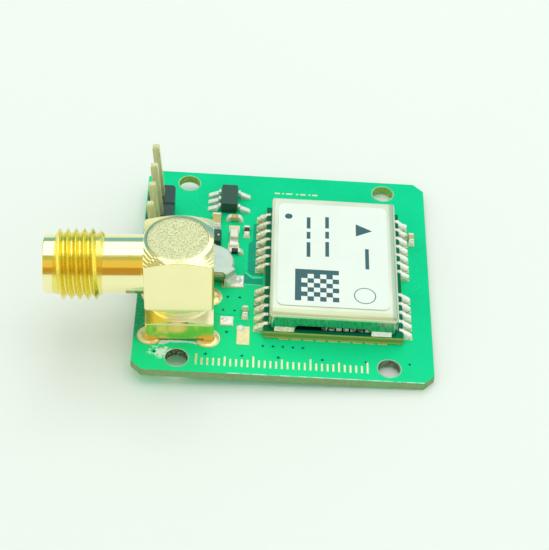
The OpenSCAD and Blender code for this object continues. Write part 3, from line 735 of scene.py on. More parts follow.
def board_lacquer(mask, laminate):
    """The circuit board: lacquer with flux, painted light, a painted highlight along its front edge where
    it shows wear, a painted shadow beside the jack, and holes painted with shade and torn resin.
    """
    finish, face, weave = lacquered("board_mask", mask)
    wall, layers = cut_laminate(finish, laminate)
    x, y, _ = finish.split(finish.mm)
    wide, deep = finish.calc("ABSOLUTE", x), finish.calc("ABSOLUTE", y)

    # Painted light: the lacquer is painted a little brighter towards the front left corner
    forward = finish.line(x, -0.025, finish.line(y, -0.03, 0.3))
    lit = (mask[0] + 0.013, min(1.0, mask[1] * 1.19), mask[2] * 0.97)
    face = finish.mix(finish.ramp(forward, (0.1, 0.0), (0.9, 1.0)), face, lit)

    # Bare laminate shows in a narrow ring round each mounting hole
    away = finish.distance(
        finish.calc("SUBTRACT", wide, HOLES_AT[0]), finish.calc("SUBTRACT", deep, HOLES_AT[1])
    )
    ragged = finish.line(finish.noise(4.0), 0.14, away)
    bare = finish.mix(weave, (0.62, 0.72, 0.5), (0.2, 0.5, 0.28))
    face = finish.mix(finish.under(ragged, 1.15), face, bare)

    # Painted light and shade in the mounting holes: painted shade in front, the left one with pale crumbs
    # of torn resin, and a lit green at the back; painted shade makes the vias and other small holes almost
    # black inside
    crumbs = finish.ramp(finish.noise(6.0, 4.0), (0.5, (0.05, 0.09, 0.05)), (0.68, (0.42, 0.5, 0.36)))
    plain = finish.ramp(finish.noise(1.6), (0.35, (0.1, 0.14, 0.09)), (0.65, (0.3, 0.38, 0.24)))
    green = finish.ramp(finish.noise(3.0, 4.0), (0.35, (0.24, 0.5, 0.09)), (0.7, (0.45, 0.72, 0.22)))
    torn = finish.mix(finish.over(y, 0.0), finish.mix(finish.over(x, 0.0), crumbs, plain), green)
    wall = finish.mix(finish.under(away, 1.2), wall, torn)
    shaded_small_holes = finish.both(finish.under(wide, 12.6), finish.under(deep, 12.3), finish.over(away, 1.2))
    wall = finish.mix(shaded_small_holes, wall, (0.004, 0.02, 0.012))

    # Painted highlight, with wear: the lacquer is painted pale in patches along the front edge
    rubbed_and_lit = finish.ramp(finish.noise(1.3), (0.36, 0.0), (0.5, 1.0))
    wear_and_highlight = finish.both(finish.under(y, -12.74), finish.over(x, -4.9), rubbed_and_lit)
    face = finish.mix(wear_and_highlight, face, (0.5, 0.86, 0.66))

    # Dried flux has crystallised beside the jack's left front leg
    spot = finish.distance(
        finish.both(finish.calc("ADD", x, 10.66), math.sqrt(0.5)), finish.calc("ADD", y, 10.72)
    )
    crystals = finish.noise(3.4, 6.0, rough=0.75, warp=0.4)
    crystals = finish.calc("SUBTRACT", crystals, finish.both(spot, 0.3))
    face = finish.mix(finish.ramp(crystals, (0.3, 0.0), (0.4, 0.9)), face, (0.84, 1.0, 0.88))

    # Painted shadow: the strip beside the jack is painted darker, as the jack's shadow, with specks of flux
    # in it
    beside = finish.both(
        finish.ramp(finish.line(x, -0.5, -5.4), (0.1, 0.0), (0.4, 1.0)),
        finish.ramp(finish.line(y, 0.25, 2.6), (0.1, 0.0), (0.45, 1.0)),
        finish.ramp(finish.both(y, -0.25), (0.1, 0.0), (0.5, 1.0))
    )
    face = finish.mix(finish.both(beside, 0.8), face, (0.02, 0.3, 0.16))
    specks = finish.both(beside, finish.ramp(finish.noise(5.0, 4.0), (0.6, 0.0), (0.66, 0.5)))
    face = finish.mix(specks, face, (0.4, 0.8, 0.6))
    return cut_and_lacquered(finish, face, weave, wall, layers)


def module_lacquer(mask, laminate):
    """The module's board: painted shade makes it dark under the can, with the copper as pale lines in its
    edge.
    """
    finish, face, weave = lacquered("module_mask", mask)
    wall, layers = cut_laminate(finish, laminate)
    x, y, z = finish.split(finish.mm)
    beside = finish.calc("ABSOLUTE", finish.calc("SUBTRACT", x, CAN_X))
    # Painted shade: the lacquer under the can is painted almost black
    shaded_under_can = finish.both(finish.under(beside, 5.45), finish.over(y, -8.0))
    face = finish.mix(shaded_under_can, face, shaded(mask, 0.12))
    core = finish.calc("ABSOLUTE", finish.calc("SUBTRACT", z, BOARD_TOP + 0.45))
    wall = finish.mix(finish.ramp(core, (0.16, 0.7), (0.26, 0.0)), wall, (0.07, 0.26, 0.07))
    return cut_and_lacquered(finish, face, weave, wall, layers)


def lacquer(name, colour):
    """Green lacquer over a track or a bare stretch of laminate."""
    finish = Finish(name, colour, 0.3, Specular_IOR_Level=0.05)
    finish.clouds(finish.noise(1.1), (0.3, shaded(colour, 0.92)), (0.7, shaded(colour, 1.08)))
    finish.roughness(finish.noise(2.0, 2.0), 0.15, 0.3)
    finish.relief(finish.noise(3.2), 0.004)
    return finish.material


def film(colour):
    """The label's film: almost white, satin, with faint waves."""
    finish = Finish("label_film", colour, 0.38)
    finish.clouds(finish.noise(0.35, 2.0), (0.3, shaded(colour, 0.965)), (0.7, colour))
    finish.roughness(finish.noise(2.0, 2.0), 0.32, 0.46)
    waves = finish.relief(finish.noise(0.5, 2.0), 0.03)
    finish.relief(finish.noise(20.0), 0.0015, waves)
    return finish.material


def printed(name, colour):
    """Ink with a slightly patchy cover."""
    finish = Finish(name, colour, 0.4)
    thin = tuple(min(1, c * 1.25 + 0.02) for c in colour)
    finish.clouds(finish.noise(7.0, 4.0), (0.35, colour), (0.8, thin))
    finish.roughness(finish.noise(5.0, 2.0), 0.34, 0.5)
    return finish.material


def flux(colour):
    """Glassy residue that is left round the solder."""
    finish = Finish("dried_flux", colour, 0.2)
    finish.clouds(finish.noise(4.0, 4.0), (0.3, shaded(colour, 0.8)), (0.7, colour))
    finish.roughness(finish.noise(6.0), 0.06, 0.35)
    finish.relief(finish.noise(9.0), 0.02)
    return finish.material


def chip_row():
    """Small chips under the can, painted dark as painted shade; those behind the vent slot show their
    plated ends, pale only in specks, as painted glints.
    """
    finish = Finish("chip_row", linear("#3a3428"), 0.35)
    away = finish.calc("ABSOLUTE", finish.calc("ADD", finish.split(finish.mm)[1], 7.44))
    specks = finish.ramp(finish.noise(2.6, 2.0), (0.46, 0.1), (0.58, 0.9))
    body = finish.ramp(finish.noise(5.0), (0.3, linear("#2c2a22")), (0.7, linear("#4a4232")))
    # The plated ends behind the vent slot are pale only in specks, as painted glints
    ends = finish.both(finish.between(away, 0.3, 0.6), specks)
    finish.colour(finish.mix(ends, body, linear("#d8dcc8")))
    finish.roughness(finish.noise(9.0, 2.0), 0.28, 0.42)
    finish.relief(finish.noise(24.0, 2.0), 0.004)
    return finish.material


def lamp_resin(colour):
    """The lamp's milky moulded lens."""
    finish = Finish("lamp_resin", colour, 0.2, Subsurface_Weight=0.3, Subsurface_Scale=0.0003)
    finish.clouds(finish.noise(2.5), (0.3, shaded(colour, 0.9)), (0.7, colour))
    finish.roughness(finish.noise(5.0, 2.0), 0.14, 0.3)
    finish.relief(finish.noise(8.0, 2.0), 0.004)
    return finish.material


# THE PIECES


class BOARD_OT_laminate(bpy.types.Operator):
    """Makes the circuit board with its rounded edges and green lacquer"""
    bl_idname = "navboard.laminate"
    bl_label = "Circuit board"

    def execute(self, context):
        board = context.scene.board_looks
        obj = soften(merged_copy("circuit_board", "board_laminate"), board.edge, 2, 60)
        piece(obj, board_lacquer(board.mask, board.laminate), "laminate", "circuit_board")
        return {"FINISHED"}


# Stretches where there is no copper under the lacquer, each an outline in mm
BARE_STRETCHES = [
    [(-3.4, -0.3), (-2.95, -0.75), (-2.0, -0.75), (-2.0, 6.1), (-3.0, 6.1), (-3.0, 3.9), (-3.4, 3.4)],
    [(-3.75, -1.84), (-2.0, -1.9), (-2.0, -1.1), (-2.95, -1.2), (-3.65, -0.5)],
    [(-2.75, -5.1), (-2.0, -5.1), (-2.0, -2.75), (-2.45, -2.75), (-2.75, -3.1)],
]
# Tracks under the lacquer: width and line of points in mm
TRACKS = [
    (0.24, [(-3.7, 1.75), (-3.66, -0.3), (-2.92, -0.93), (-2.0, -0.92)]),
    (0.14, [(-6.17, -5.82), (-4.2, -5.82)]),
    (0.14, [(-6.13, -6.6), (-2.84, -6.6)]),
    (0.12, [(10.94, 4.09), (12.13, 3.11), (12.59, 2.88)]),
    (0.12, [(10.9, 2.9), (12.2, 1.9), (12.3, -1.2), (11.3, -2.1)]),
    (0.2, [(-6.5, 7.9), (-7.7, 7.9), (-8.6, 8.6), (-8.6, 10.2)]),
    (0.2, [(-8.1, 6.8), (-10.6, 6.8)]),
]
# Vias: first x, y, step and count, in mm
VIA_ROWS = [
    (-11.31, -10.7, 4.5, 2), (-3.62, -10.7, 3.2, 2), (3.43, -10.7, 3.84, 3), (-1.8, -9.4, 0.88, 5),
    (-5.1, -3.62, 1.08, 2), (-5.47, -5.28, 1.04, 2), (-5.06, -7.95, 1, 1),
]
# Painted highlights along the edges of tracks: lines of points in mm
TRACK_HIGHLIGHTS = [
    [(-3.66, -0.38), (-2.98, -1.06), (-2.07, -0.97)],
    [(-3.8, -1.9), (-2.05, -1.97)],
]


class BOARD_OT_tracks(bpy.types.Operator):
    """Makes the tracks that stand up under the lacquer and the darker bare stretches"""
    bl_idname = "navboard.tracks"
    bl_label = "Tracks under the lacquer"

    def execute(self, context):
        board = context.scene.board_looks
        low = BOARD_TOP - SUNK
        bare = joined("bare_stretches", [
            plate("bare", outline, low, BOARD_TOP + 0.004) for outline in BARE_STRETCHES
        ])
        piece(soften(bare, 0.003 * MM, 1, 40), lacquer("lacquer_bare", board.bare_mask), "laminate")
        tracks = joined("masked_tracks", [
            strip("track", points, width, low, BOARD_TOP + board.track / MM)
            for width, points in TRACKS
        ])
        soften(tracks, board.track * 0.7, 2, 40)
        piece(tracks, lacquer("lacquer_track", shaded(board.mask, 1.05)), "laminate")
        collar = turned("via_collar", [
            (0.1, low), (0.22, low), (0.22, BOARD_TOP + 0.005), (0.1, BOARD_TOP + 0.005)
        ], 32, closed=True)
        collars = []
        for x, y, step, count in VIA_ROWS:
            for i in range(count):
                hold(collar)
                bpy.ops.object.duplicate()
                place = Matrix.Translation(((x + step * i) * MM, y * MM, 0))
                collars.append(moved(bpy.context.object, place))
        bpy.data.objects.remove(collar)
        piece(joined("via_collars", collars), lacquer("lacquer_collar", board.mask), "laminate")
        # Pale strips along two tracks' edges, as painted highlights
        edges = joined("painted_track_highlights", [
            strip("edge", points, 0.07, low, BOARD_TOP + board.track / MM + 0.004) for points in TRACK_HIGHLIGHTS
        ])
        piece(soften(edges, 0.004 * MM, 1, 40), lacquer("track_highlight_paint", (0.3, 0.76, 0.5)), "laminate")
        return {"FINISHED"}


# Gold dashes at the back: start and length in mm
DASHES = (
    (-1.1, 0.5), (-0.4, 0.2), (0.0, 0.6), (0.95, 0.2), (1.35, 0.5), (2.15, 0.2), (2.5, 0.5)
)
# The scale's strokes: their number, first place, spacing, foot and half width in mm
STROKES = 31
FIRST_STROKE = -7.6
STROKE_STEP = 0.5
STROKE_FOOT = -12.0
HALF_STROKE = 0.085


class BOARD_OT_marks(bpy.types.Operator):
    """Makes a plain scale of gold strokes along the front edge and a few dashes at the back"""
    bl_idname = "navboard.marks"
    bl_label = "Gold marks"

    def execute(self, context):
        low, high = BOARD_TOP - SUNK, BOARD_TOP + SUNK
        strokes = []
        for i in range(STROKES):
            x = FIRST_STROKE + i * STROKE_STEP
            tall = 1.3 if i % 10 == 0 else (1.1 if i % 5 == 0 else 0.85)
            strokes.append(block(
                "stroke", (x - HALF_STROKE, STROKE_FOOT, low), (x + HALF_STROKE, STROKE_FOOT + tall, high)
            ))
        for x, wide in DASHES:
            strokes.append(block("dash", (x, 10.45, low), (x + wide, 10.62, high)))
        row = soften(joined("plain_marks", strokes), 0.012 * MM, 1, 40)
        piece(row, bright_metal("mark_gold", linear("#f4f0c4"), 0.34, 3.0, metal=0.5), "land_plate")
        return {"FINISHED"}


class BOARD_OT_lands(bpy.types.Operator):
    """Gives the plated lands their gold, clouded by wear"""
    bl_idname = "navboard.lands"
    bl_label = "Lands"

    def execute(self, context):
        wear_and_highlight = bright_metal("land_gold", context.scene.board_looks.land, 0.36, 2.5, 0.005, metal=0.65)
        refined("copper_lands", "plated_lands", wear_and_highlight, "land_plate", 0.018, 1, 60)
        return {"FINISHED"}


class BOARD_OT_jack_body(bpy.types.Operator):
    """Makes the jack's body: a square bar turned, milled, bored, threaded and plated"""
    bl_idname = "navboard.jack_body"
    bl_label = "Jack body"

    def execute(self, context):
        jack = context.scene.jack_looks
        neck = jack.neck_dia / 2 / MM
        root = jack.root_dia / 2 / MM
        crest = jack.thread_dia / 2 / MM
        pitch = jack.pitch / MM
        mouth = 11.6
        bar = block("bar", (-3, -3, 0.3), (3, 3, 10.4))
        mesh = open_mesh(bar)
        pick_upright(mesh, 5 * MM)
        bpy.ops.mesh.bevel(offset=0.25 * MM, segments=4, affect="EDGES")
        close_mesh(bar)
        outline = [
            (0, 0.65), (4.34, 0.65), (4.34, 2.38), (2.94, 2.8), (2.9, 2.84), (2.8, 2.98), (2.8, 3.2),
            (2.86, 3.27), (2.86, 3.43), (2.8, 3.5), (2.8, 3.72), (2.9, 3.86), (2.94, 3.9),
            (4.34, 4.32), (4.34, 9.3), (2.96, 9.89), (2.66, 9.96), (0, 9.96)
        ]
        cut(bar, turned("turning", outline), "INTERSECT")
        soften(bar, jack.edge, 3, 28)
        cut(bar, rod("cap_seat", (-0.08, 0.04), 2.67, 9.26, 11, 96))
        cut(bar, rod("tail_bore", (0, 0), 1.27, 0, 6))
        soften(crease(bar, 2.96, 9.89), 0.012 * MM, 1, 60)

        # The barrel's profile: radius, then distance from the block's middle
        start, end = mouth - 5.15, mouth - 0.95
        barrel = turned("barrel", [
            (2.05, 1.5), (neck, 1.5), (neck, start), (root, start + 0.2), (root, end - 0.2),
            (neck, end), (neck, mouth - 0.12), (neck - 0.04, mouth - 0.03), (neck - 0.12, mouth),
            (2.42, mouth), (2.32, mouth - 0.1), (2.3, mouth - 1.9), (2.05, mouth - 1.9)
        ], 128, closed=True)
        weighed(smooth(barrel, 30))
        thread = ridge(root, crest, pitch, start, end, mouth)
        lay = Matrix.Translation((0, 0, JACK_AXIS * MM)) @ Matrix.Rotation(-math.pi / 2, 4, "Y")
        for part in (barrel, thread):
            moved(part, lay)
        reach, half = 2.54, 0.45
        legs = []
        for x in (-reach, reach):
            for y in (-reach, reach):
                leg = block("leg", (x - half, y - half, -1.3), (x + half, y + half, 0.9))
                legs.append(soften(leg, 0.05 * MM, 2))
        body = joined("jack_body_milled", [bar, barrel, thread] + legs)
        moved(body, JACK_FRAME)
        piece(body, jack_gold(jack.gold), "jack_gold", "jack_body")
        return {"FINISHED"}


def ridge(root, crest, pitch, start, end, mouth):
    """The thread: one ridge wound round the barrel, run out at both ends, mouth upwards."""
    # As in the photograph, one crest lies 2.03 mm from the mouth at 45 degrees round the barrel
    first = mouth - 2.03 - pitch * 45 / 360 - pitch * 6
    obj = walk("thread", [
        (root - 0.15, -0.34), (root, -0.3), (crest - 0.05, -0.05), (crest, -0.02),
        (crest, 0.02), (crest - 0.05, 0.05), (root, 0.3), (root - 0.15, 0.34)
    ], closed=True)
    modified(
        obj, "SCREW", axis="Z", angle=2 * math.pi, screw_offset=pitch * MM, iterations=8,
        steps=72, render_steps=72, use_merge_vertices=False
    )
    moved(obj, Matrix.Translation((0, 0, first * MM)))
    mesh = open_mesh(obj)
    for vert in mesh.verts:
        radius = math.hypot(vert.co.x, vert.co.y)
        turn = math.atan2(vert.co.y, vert.co.x) / (2 * math.pi)
        place = (vert.co.z / MM - first - turn * pitch) / pitch
        centre = first + (round(place) + turn) * pitch
        inside = min(centre - start - 0.1, end - 0.1 - centre)
        keep = max(0.0, min(1.0, inside / 0.3))
        low = root - 0.2
        height = low + (radius / MM - low) * keep
        vert.co.x *= height * MM / radius
        vert.co.y *= height * MM / radius
    bpy.ops.mesh.select_all(action="SELECT")
    bpy.ops.mesh.fill_holes(sides=10)
    close_mesh(obj)
    return smooth(obj, 50)


class BOARD_OT_jack_cap(bpy.types.Operator):
    """Makes the pressed-in access cap with its pebbled top"""
    bl_idname = "navboard.jack_cap"
    bl_label = "Jack access cap"

    def execute(self, context):
        jack = context.scene.jack_looks
        cap = turned("jack_cap_pebbled", [
            (0, 9.26), (2.655, 9.26), (2.655, 9.88), (2.645, 9.91), (2.62, 9.932), (2.59, 9.94),
            (2.3, 9.94), (1.7, 9.94), (1.2, 9.94), (0.7, 9.94), (0.3, 9.94), (0, 9.94)
        ])
        smooth(cap, 40)
        moved(cap, JACK_FRAME @ Matrix.Translation((-0.08 * MM, 0.04 * MM, 0)))
        piece(cap, cast_gold(shaded(jack.gold, 0.97)), "cap_gold", "jack_cap")
        return {"FINISHED"}


class BOARD_OT_jack_inside(bpy.types.Operator):
    """Dresses the jack's insulators, contact and tail pin"""
    bl_idname = "navboard.jack_inside"
    bl_label = "Jack insulators and contact"

    def execute(self, context):
        resin = fired("fluoropolymer", linear("#f3f3ee"), 0.4, 0.03)
        contact = plated_gold("contact_gold", linear("#f4c95a"))[0].material
        for node, finish, slot in (
            ("jack_insulator", resin, "fluoropolymer"), ("jack_tail_insulator", resin, "fluoropolymer"),
            ("jack_contact", contact, "contact_gold"), ("jack_tail_pin", contact, "contact_gold"),
        ):
            obj = smooth(merged_copy(node, node + "_turned"), 30)
            piece(obj, finish, slot, node)
        return {"FINISHED"}


class BOARD_OT_solder(bpy.types.Operator):
    """Makes all solder joints as lumps with relaxed surfaces"""
    bl_idname = "navboard.solder"
    bl_label = "Solder"

    def execute(self, context):
        module = context.scene.module_looks
        pads = pad_solder(module.solder)
        warm = bright_metal("solder_jack", linear("#fbeeb0"), 0.22, 2.0, 0.012, metal=0.6)
        plain = bright_metal("solder_plain", linear("#fefef8"), 0.24, 4.0, 0.012, metal=0.25)
        middle, fine = 0.05 * MM, 0.025 * MM
        # Grids are in metres, the lumps' height and size in mm
        for node, name, grid, lump, grain, passes, level, finish, slot in (
            ("module_solder", "edge_pad_solder", module.voxel, 0.07, 0.45, 6, 0.7, pads, "module_solder"),
            ("can_solder", "can_corner_solder", module.voxel, 0.03, 0.5, 8, 0.45, pads, "can_solder"),
            ("jack_solder", "jack_leg_solder", middle, 0.04, 0.6, 8, 0.45, warm, "jack_solder"),
            ("header_solder", "header_pin_solder", middle, 0.02, 0.5, 8, 0.45, plain, "solder"),
            ("chip_solder", "chip_fillets", fine, 0.022, 0.3, 8, 0.45, plain, "solder"),
        ):
            piece(molten(node, name, grid, lump, grain, passes, level), finish, slot, node)
        return {"FINISHED"}


class BOARD_OT_flux(bpy.types.Operator):
    """Makes the line of pale flux in front of the jack"""
    bl_idname = "navboard.flux"
    bl_label = "Flux residue"

    def execute(self, context):
        obj = plate("flux_residue", [
            (-11.0, -9.84), (-10.55, -9.86), (-10.0, -9.56), (-8.4, -9.5), (-7.5, -9.68), (-7.8, -9.4),
            (-9.2, -9.3), (-10.8, -9.4)
        ], BOARD_TOP - SUNK, BOARD_TOP + 0.09)
        modified(obj, "REMESH", mode="VOXEL", voxel_size=0.025 * MM, adaptivity=0.0)
        piece(lumpy(obj, 0.13, 0.1, 0.55, 2), flux(linear("#eaf8ea")), "jack_solder")
        return {"FINISHED"}


class BOARD_OT_header(bpy.types.Operator):
    """Makes the pin header's base and pins"""
    bl_idname = "navboard.header"
    bl_label = "Pin header"

    def execute(self, context):
        plastic = moulded("header_plastic", linear("#0f3f3d"), 0.34)
        plated = bright_metal("pin_plate", linear("#ecebb8"), 0.3, 1.2, 0.004, (2.5, 2.5, 0.4), 0.6)
        refined("header_base", "header_base_moulded", plastic, "header_plastic", 0.05)
        refined("header_pins", "header_pins_drawn", plated, "pin_plate", 0.035)
        return {"FINISHED"}


class BOARD_OT_module(bpy.types.Operator):
    """Makes the receiver module's board and shield can"""
    bl_idname = "navboard.module"
    bl_label = "Receiver module"

    def execute(self, context):
        # Painted shade: the module's lacquer is painted far darker than the board's
        mask = shaded(context.scene.board_looks.mask, 0.26)
        shaded_module_lacquer = module_lacquer(mask, linear("#b6ae58"))
        refined("module_board", "module_laminate", shaded_module_lacquer, "module_laminate", 0.03, 2, 60)
        can = smooth(merged_copy("shield_can", "shield_can_drawn"), 40)
        soften(can, 0.03 * MM, 2, 50)
        piece(can, tinplate(context.scene.module_looks.tinplate), "shield", "shield_can")
        return {"FINISHED"}


class BOARD_OT_label(bpy.types.Operator):
    """Makes the label and its plain printed marks"""
    bl_idname = "navboard.label"
    bl_label = "Label and print"

    def execute(self, context):
        module = context.scene.module_looks
        x, y = LABEL_AT
        across, along = 5, 6.55
        sheet = block(
            "label_film", (x - across, y - along, CAN_TOP), (x + across, y + along, CAN_TOP + 0.08)
        )
        mesh = open_mesh(sheet)
        pick_upright(mesh, 0.05 * MM)
        bpy.ops.mesh.bevel(offset=0.6 * MM, segments=10, affect="EDGES")
        close_mesh(sheet)
        soften(sheet, 0.02 * MM, 2, 50)
        piece(sheet, film(module.paper), "label", "module_label")

        low, high = CAN_TOP + 0.07, CAN_TOP + 0.084
        marks = [rod("dot", (0.12, 4.21), 0.35, low, high)]
        for x, top in ((1.96, 4.2), (3.66, 4.35)):
            for part in (1.5, 0.9, 1.9):
                marks.append(block("bar", (x - 0.17, top - part, low), (x + 0.17, top, high)))
                top -= part + 0.45
        marks.append(block("bar", (7.1, -2.2, low), (7.44, 0.4, high)))
        marks.append(plate("pointer", [(6.3, 2.0), (7.8, 2.78), (6.3, 3.6)], low, high))
        ring = rod("ring", (7.0, -5.55), 0.98, low, high, 72)
        marks.append(cut(ring, rod("hollow", (7.0, -5.55), 0.9, low - 1, high + 1, 72)))
        for i in range(7):
            for j in range(7):
                if (i + j) % 2 == 0 or i == 0 or j == 0:
                    a, b = 0.78 + i * 0.56, -2.6 - j * 0.56
                    marks.append(block("cell", (a, b - 0.56, low), (a + 0.56, b, high)))
        piece(joined("label_print", marks), printed("label_ink", module.ink), "label")
        return {"FINISHED"}


class BOARD_OT_under_can(bpy.types.Operator):
    """Dresses the parts under the shield can"""
    bl_idname = "navboard.under_can"
    bl_label = "Parts under the can"

    def execute(self, context):
        black = moulded("chip_plastic", linear("#15171a"), 0.4)
        lid = bright_metal("lid_metal", linear("#cfcabb"), 0.3)
        for node, finish, slot in (
            ("receiver_chip", black, "chip_plastic"), ("low_noise_amplifier", black, "chip_plastic"),
            ("clock_oscillator", lid, "lid_metal"), ("signal_filter", lid, "lid_metal"),
            ("clock_crystal", lid, "lid_metal"), ("module_passives", chip_row(), "tan_ceramic"),
        ):
            refined(node, node + "_dressed", finish, slot, 0.03)
        return {"FINISHED"}


class BOARD_OT_backup_cell(bpy.types.Operator):
    """Makes the tabbed backup cell"""
    bl_idname = "navboard.backup_cell"
    bl_label = "Backup cell"

    def execute(self, context):
        steel = bright_metal("cell_steel", linear("#b4c4b8"), 0.3, 0.8, 0.004)
        tab = bright_metal("tab_steel", linear("#cbdacb"), 0.36, 0.5, 0.003, metal=0.6)
        refined("backup_cell", "cell_can", steel, "cell_steel", 0.05, 3, 40)
        for node in ("cell_top_tab", "cell_bottom_tab"):
            refined(node, node + "_bent", tab, "tab_steel", 0.03, 2, 40)
        return {"FINISHED"}


class BOARD_OT_small_parts(bpy.types.Operator):
    """Makes the regulator, diode, lamp, capacitors, resistors and inductor"""
    bl_idname = "navboard.small_parts"
    bl_label = "Small parts"

    def execute(self, context):
        body = moulded("moulding", linear("#164a3a"), 0.38)
        tin = bright_metal("tin_ends", linear("#eeeee2"), 0.28, 4.0, 0.005, metal=0.6)
        lead = bright_metal("tin_leads", linear("#fcfdf4"), 0.3, 3.0, 0.005, metal=0.15)
        tan = fired("capacitor_ceramic", linear("#c4b46c"))
        black = fired("resistor_glaze", linear("#101718"), 0.25)
        green = fired("inductor_ferrite", linear("#8fbf7a"))
        resin = lamp_resin(linear("#f0f2dc"))
        for node, finish, slot, edge in (
            ("regulator_body", body, "moulding", 0.05), ("diode_body", body, "moulding", 0.04),
            ("regulator_leads", lead, "tin", 0.03), ("diode_leads", lead, "tin", 0.02),
            ("indicator_led", resin, "lamp", 0.05), ("indicator_ends", tin, "tin", 0.04),
            ("capacitor_bodies", tan, "tan_ceramic", 0.03), ("capacitor_ends", tin, "tin", 0.05),
            ("resistor_bodies", black, "black_ceramic", 0.03), ("resistor_ends", tin, "tin", 0.04),
            ("inductor_body", green, "green_ceramic", 0.03), ("inductor_ends", tin, "tin", 0.05),
        ):
            refined(node, node + "_finished", finish, slot, edge, 2, 28)
        dot = soften(rod("diode_dot", (-6.26, 3.44), 0.09, 1.7, 1.738, 16), 0.004 * MM, 1, 40)
        piece(dot, printed("pale_ink", linear("#dfeee2")), "moulding")
        return {"FINISHED"}


def lamp(name, place, energy, **values):
    """A soft lamp that shines straight down."""
    release()
    bpy.ops.object.light_add(type="AREA", location=place)
    obj = bpy.context.object
    obj.name = name
    obj.data.energy = energy
    for key, value in values.items():
        setattr(obj.data, key, value)
    return obj


# The board leans on its jack's legs, so the table lies tilted under it
TABLE_AT = (13.22 * MM, 0, -0.012 * MM)
TABLE_SLOPE = 0.0451

# Where the photograph was taken from, and its focal length in rows of the picture
CAMERA_PLACE = Matrix((
    (0.99806481, -0.05445815, -0.03001589, -5.744 * MM),
    (0.01741124, 0.70814579, -0.70585153, -113.631 * MM),
    (0.059695, 0.70396296, 0.70772358, 114.205 * MM),
    (0, 0, 0, 1),
))
PHOTO_FOCUS = 1750.43
PHOTO_ROWS = 550
SENSOR = 36


class BOARD_OT_stage(bpy.types.Operator):
    """Makes the pale table top, the light and the camera"""
    bl_idname = "navboard.stage"
    bl_label = "Table, light and camera"

    def execute(self, context):
        stage = context.scene.stage_looks
        release()
        bpy.ops.mesh.primitive_plane_add(
            size=8, location=TABLE_AT, rotation=(0, -math.atan(TABLE_SLOPE), 0)
        )
        floor = settle(bpy.context.object, "table_top")
        floor.data.materials.append(table_paint(stage.floor))

        # Two panels overhead: front and rear edge, middle, width, and share of the power
        for name, y0, y1, x, wide, share in (
            ("front_panel", -0.075, 0.085, 0.03, 0.28, 0.42),
            ("rear_panel", 0.1, 0.36, 0.005, 0.23, 0.5),
        ):
            lamp(
                name, (x, (y0 + y1) / 2, 0.32), share * stage.overhead,
                shape="RECTANGLE", size=wide, size_y=y1 - y0
            )
        back = lamp("back_lamp", (0.0, 0.33, 0.36), 0.06, size=0.03)
        back.rotation_euler = (math.atan2(-0.33, 0.36), 0, 0)
        back.visible_glossy = False
        room_light(context.scene, stage.fill)

        release()
        bpy.ops.object.camera_add()
        camera = bpy.context.object
        camera.matrix_world = CAMERA_PLACE
        camera.data.lens = SENSOR * PHOTO_FOCUS / PHOTO_ROWS
        camera.data.clip_start = 0.005
        camera.data.clip_end = 20
        context.scene.camera = camera
        context.scene.view_settings.view_transform = "Standard"
        return {"FINISHED"}


def table_paint(colour):
    """Plain pale paint that can't be seen from below and that metal mirrors a little paler."""
    finish = Finish("table_paint", colour, 0.6)
    finish.clouds(finish.noise(0.01), (0.35, shaded(colour, 0.985)), (0.65, colour))
    pale = finish.fill(finish.add("ShaderNodeEmission"), (0.93, 0.96, 0.9))
    glossy = finish.both(finish.add("ShaderNodeLightPath").outputs["Is Glossy Ray"], 0.6)
    mirrored = finish.blend(glossy, finish.shader.outputs[0], pale)
    below = finish.add("ShaderNodeNewGeometry").outputs["Backfacing"]
    clear = finish.add("ShaderNodeBsdfTransparent").outputs[0]
    surface = finish.tree.nodes["Material Output"].inputs["Surface"]
    finish.put(surface, finish.blend(below, mirrored, clear))
    return finish.material


# What metal mirrors, from behind the board (0) over the ceiling (0.5) to the front (1)
ROOM_BANDS = (
    (0.0, (0.8, 0.84, 0.72)), (0.045, (0.7, 0.76, 0.66)), (0.065, (0.2, 0.5, 0.72)),
    (0.17, (0.2, 0.5, 0.7)), (0.21, (0.55, 0.6, 0.55)), (0.57, (0.55, 0.6, 0.55)),
    (0.59, (0.5, 0.46, 0.13)), (0.67, (0.56, 0.5, 0.12)), (0.7, (0.85, 0.58, 0.12)),
    (0.82, (0.85, 0.56, 0.1)), (0.86, (0.52, 0.27, 0.03)), (0.98, (0.5, 0.26, 0.03)),
    (1.0, (0.87, 0.94, 0.88)),
)
LEFT_WALL = (
    (0.0, (0.9, 0.9, 0.62)), (0.08, (0.9, 0.9, 0.62)), (0.12, (0.2, 0.46, 0.6)),
    (0.3, (0.2, 0.46, 0.6)), (0.36, (0.55, 0.46, 0.12)),
)


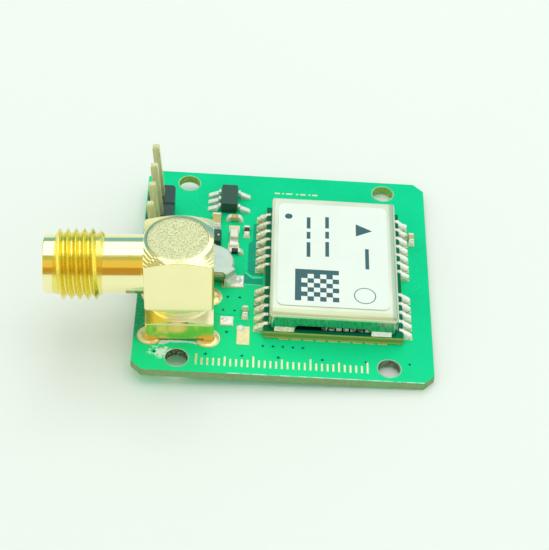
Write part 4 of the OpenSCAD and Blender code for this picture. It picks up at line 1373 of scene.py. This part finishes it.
def room_light(scene, fill):
    """Even light for matt surfaces, a plain backdrop for the camera and a banded room for metal."""
    world = bpy.data.worlds.new("room")
    scene.world = world
    world.use_nodes = True
    world.node_tree.nodes.clear()
    room = Nodes(world.node_tree)
    x, y, z = room.split(room.add("ShaderNodeTexCoord").outputs["Generated"])
    share = room.line(room.calc("ARCTAN2", room.both(y, -1.0), z), 1 / math.pi, 0.5)

    # The left side of the room is a warm dark wall, and far to both sides the room is pale
    aside = room.calc("DIVIDE", x, room.most(z, 0.02))
    wall = room.both(room.ranged(aside, -0.42, -0.55), room.over(z, 0.06))
    tones = room.mix(wall, room.ramp(share, *ROOM_BANDS), room.ramp(share, *LEFT_WALL))
    tones = room.mix(room.ranged(room.calc("ABSOLUTE", x), 0.55, 0.66), tones, (1.25, 1.3, 1.15))

    seen, shown, backdrop = (
        room.fill(room.add("ShaderNodeBackground"), tone, level)
        for tone, level in ((tones, 1.0), ((0.97, 1.0, 0.98), fill), ((0.88, 0.97, 0.89), 1.0))
    )
    path = room.add("ShaderNodeLightPath").outputs
    for rays, light in (
        ("Is Glossy Ray", seen), ("Is Transmission Ray", seen), ("Is Camera Ray", backdrop)
    ):
        shown = room.blend(path[rays], shown, light)
    room.put(room.add("ShaderNodeOutputWorld").inputs[0], shown)


# THE ADD-ON

PIECES = (
    BOARD_OT_laminate, BOARD_OT_tracks, BOARD_OT_marks, BOARD_OT_lands, BOARD_OT_jack_body,
    BOARD_OT_jack_cap, BOARD_OT_jack_inside, BOARD_OT_solder, BOARD_OT_flux, BOARD_OT_header,
    BOARD_OT_module, BOARD_OT_label, BOARD_OT_under_can, BOARD_OT_backup_cell, BOARD_OT_small_parts,
)
STEPS = (BOARD_OT_stage,) + PIECES
GROUPS = {
    "jack_looks": JackLooks, "board_looks": BoardLooks, "module_looks": ModuleLooks,
    "stage_looks": StageLooks,
}


class BOARD_PT_panel(bpy.types.Panel):
    """The board's pieces and values"""
    bl_idname = "BOARD_PT_panel"
    bl_label = "Navigation board"
    bl_space_type = "VIEW_3D"
    bl_region_type = "UI"
    bl_category = "Board"

    def draw(self, context):
        for step in STEPS:
            self.layout.operator(step.bl_idname)
        for name, group in GROUPS.items():
            box = self.layout.box()
            for key in group.__annotations__:
                box.prop(getattr(context.scene, name), key)


def register():
    for group in GROUPS.values():
        bpy.utils.register_class(group)
    for step in STEPS + (BOARD_PT_panel,):
        bpy.utils.register_class(step)
    for name, group in GROUPS.items():
        setattr(bpy.types.Scene, name, PointerProperty(type=group))


def unregister():
    for name in GROUPS:
        delattr(bpy.types.Scene, name)
    for step in (BOARD_PT_panel,) + STEPS[::-1]:
        bpy.utils.unregister_class(step)
    for group in GROUPS.values():
        bpy.utils.unregister_class(group)


def main():
    """Makes the stage and every piece."""
    register()
    for step in STEPS:
        group, name = step.bl_idname.split(".")
        getattr(getattr(bpy.ops, group), name)()
    release()


if __name__ == "__main__":
    main()
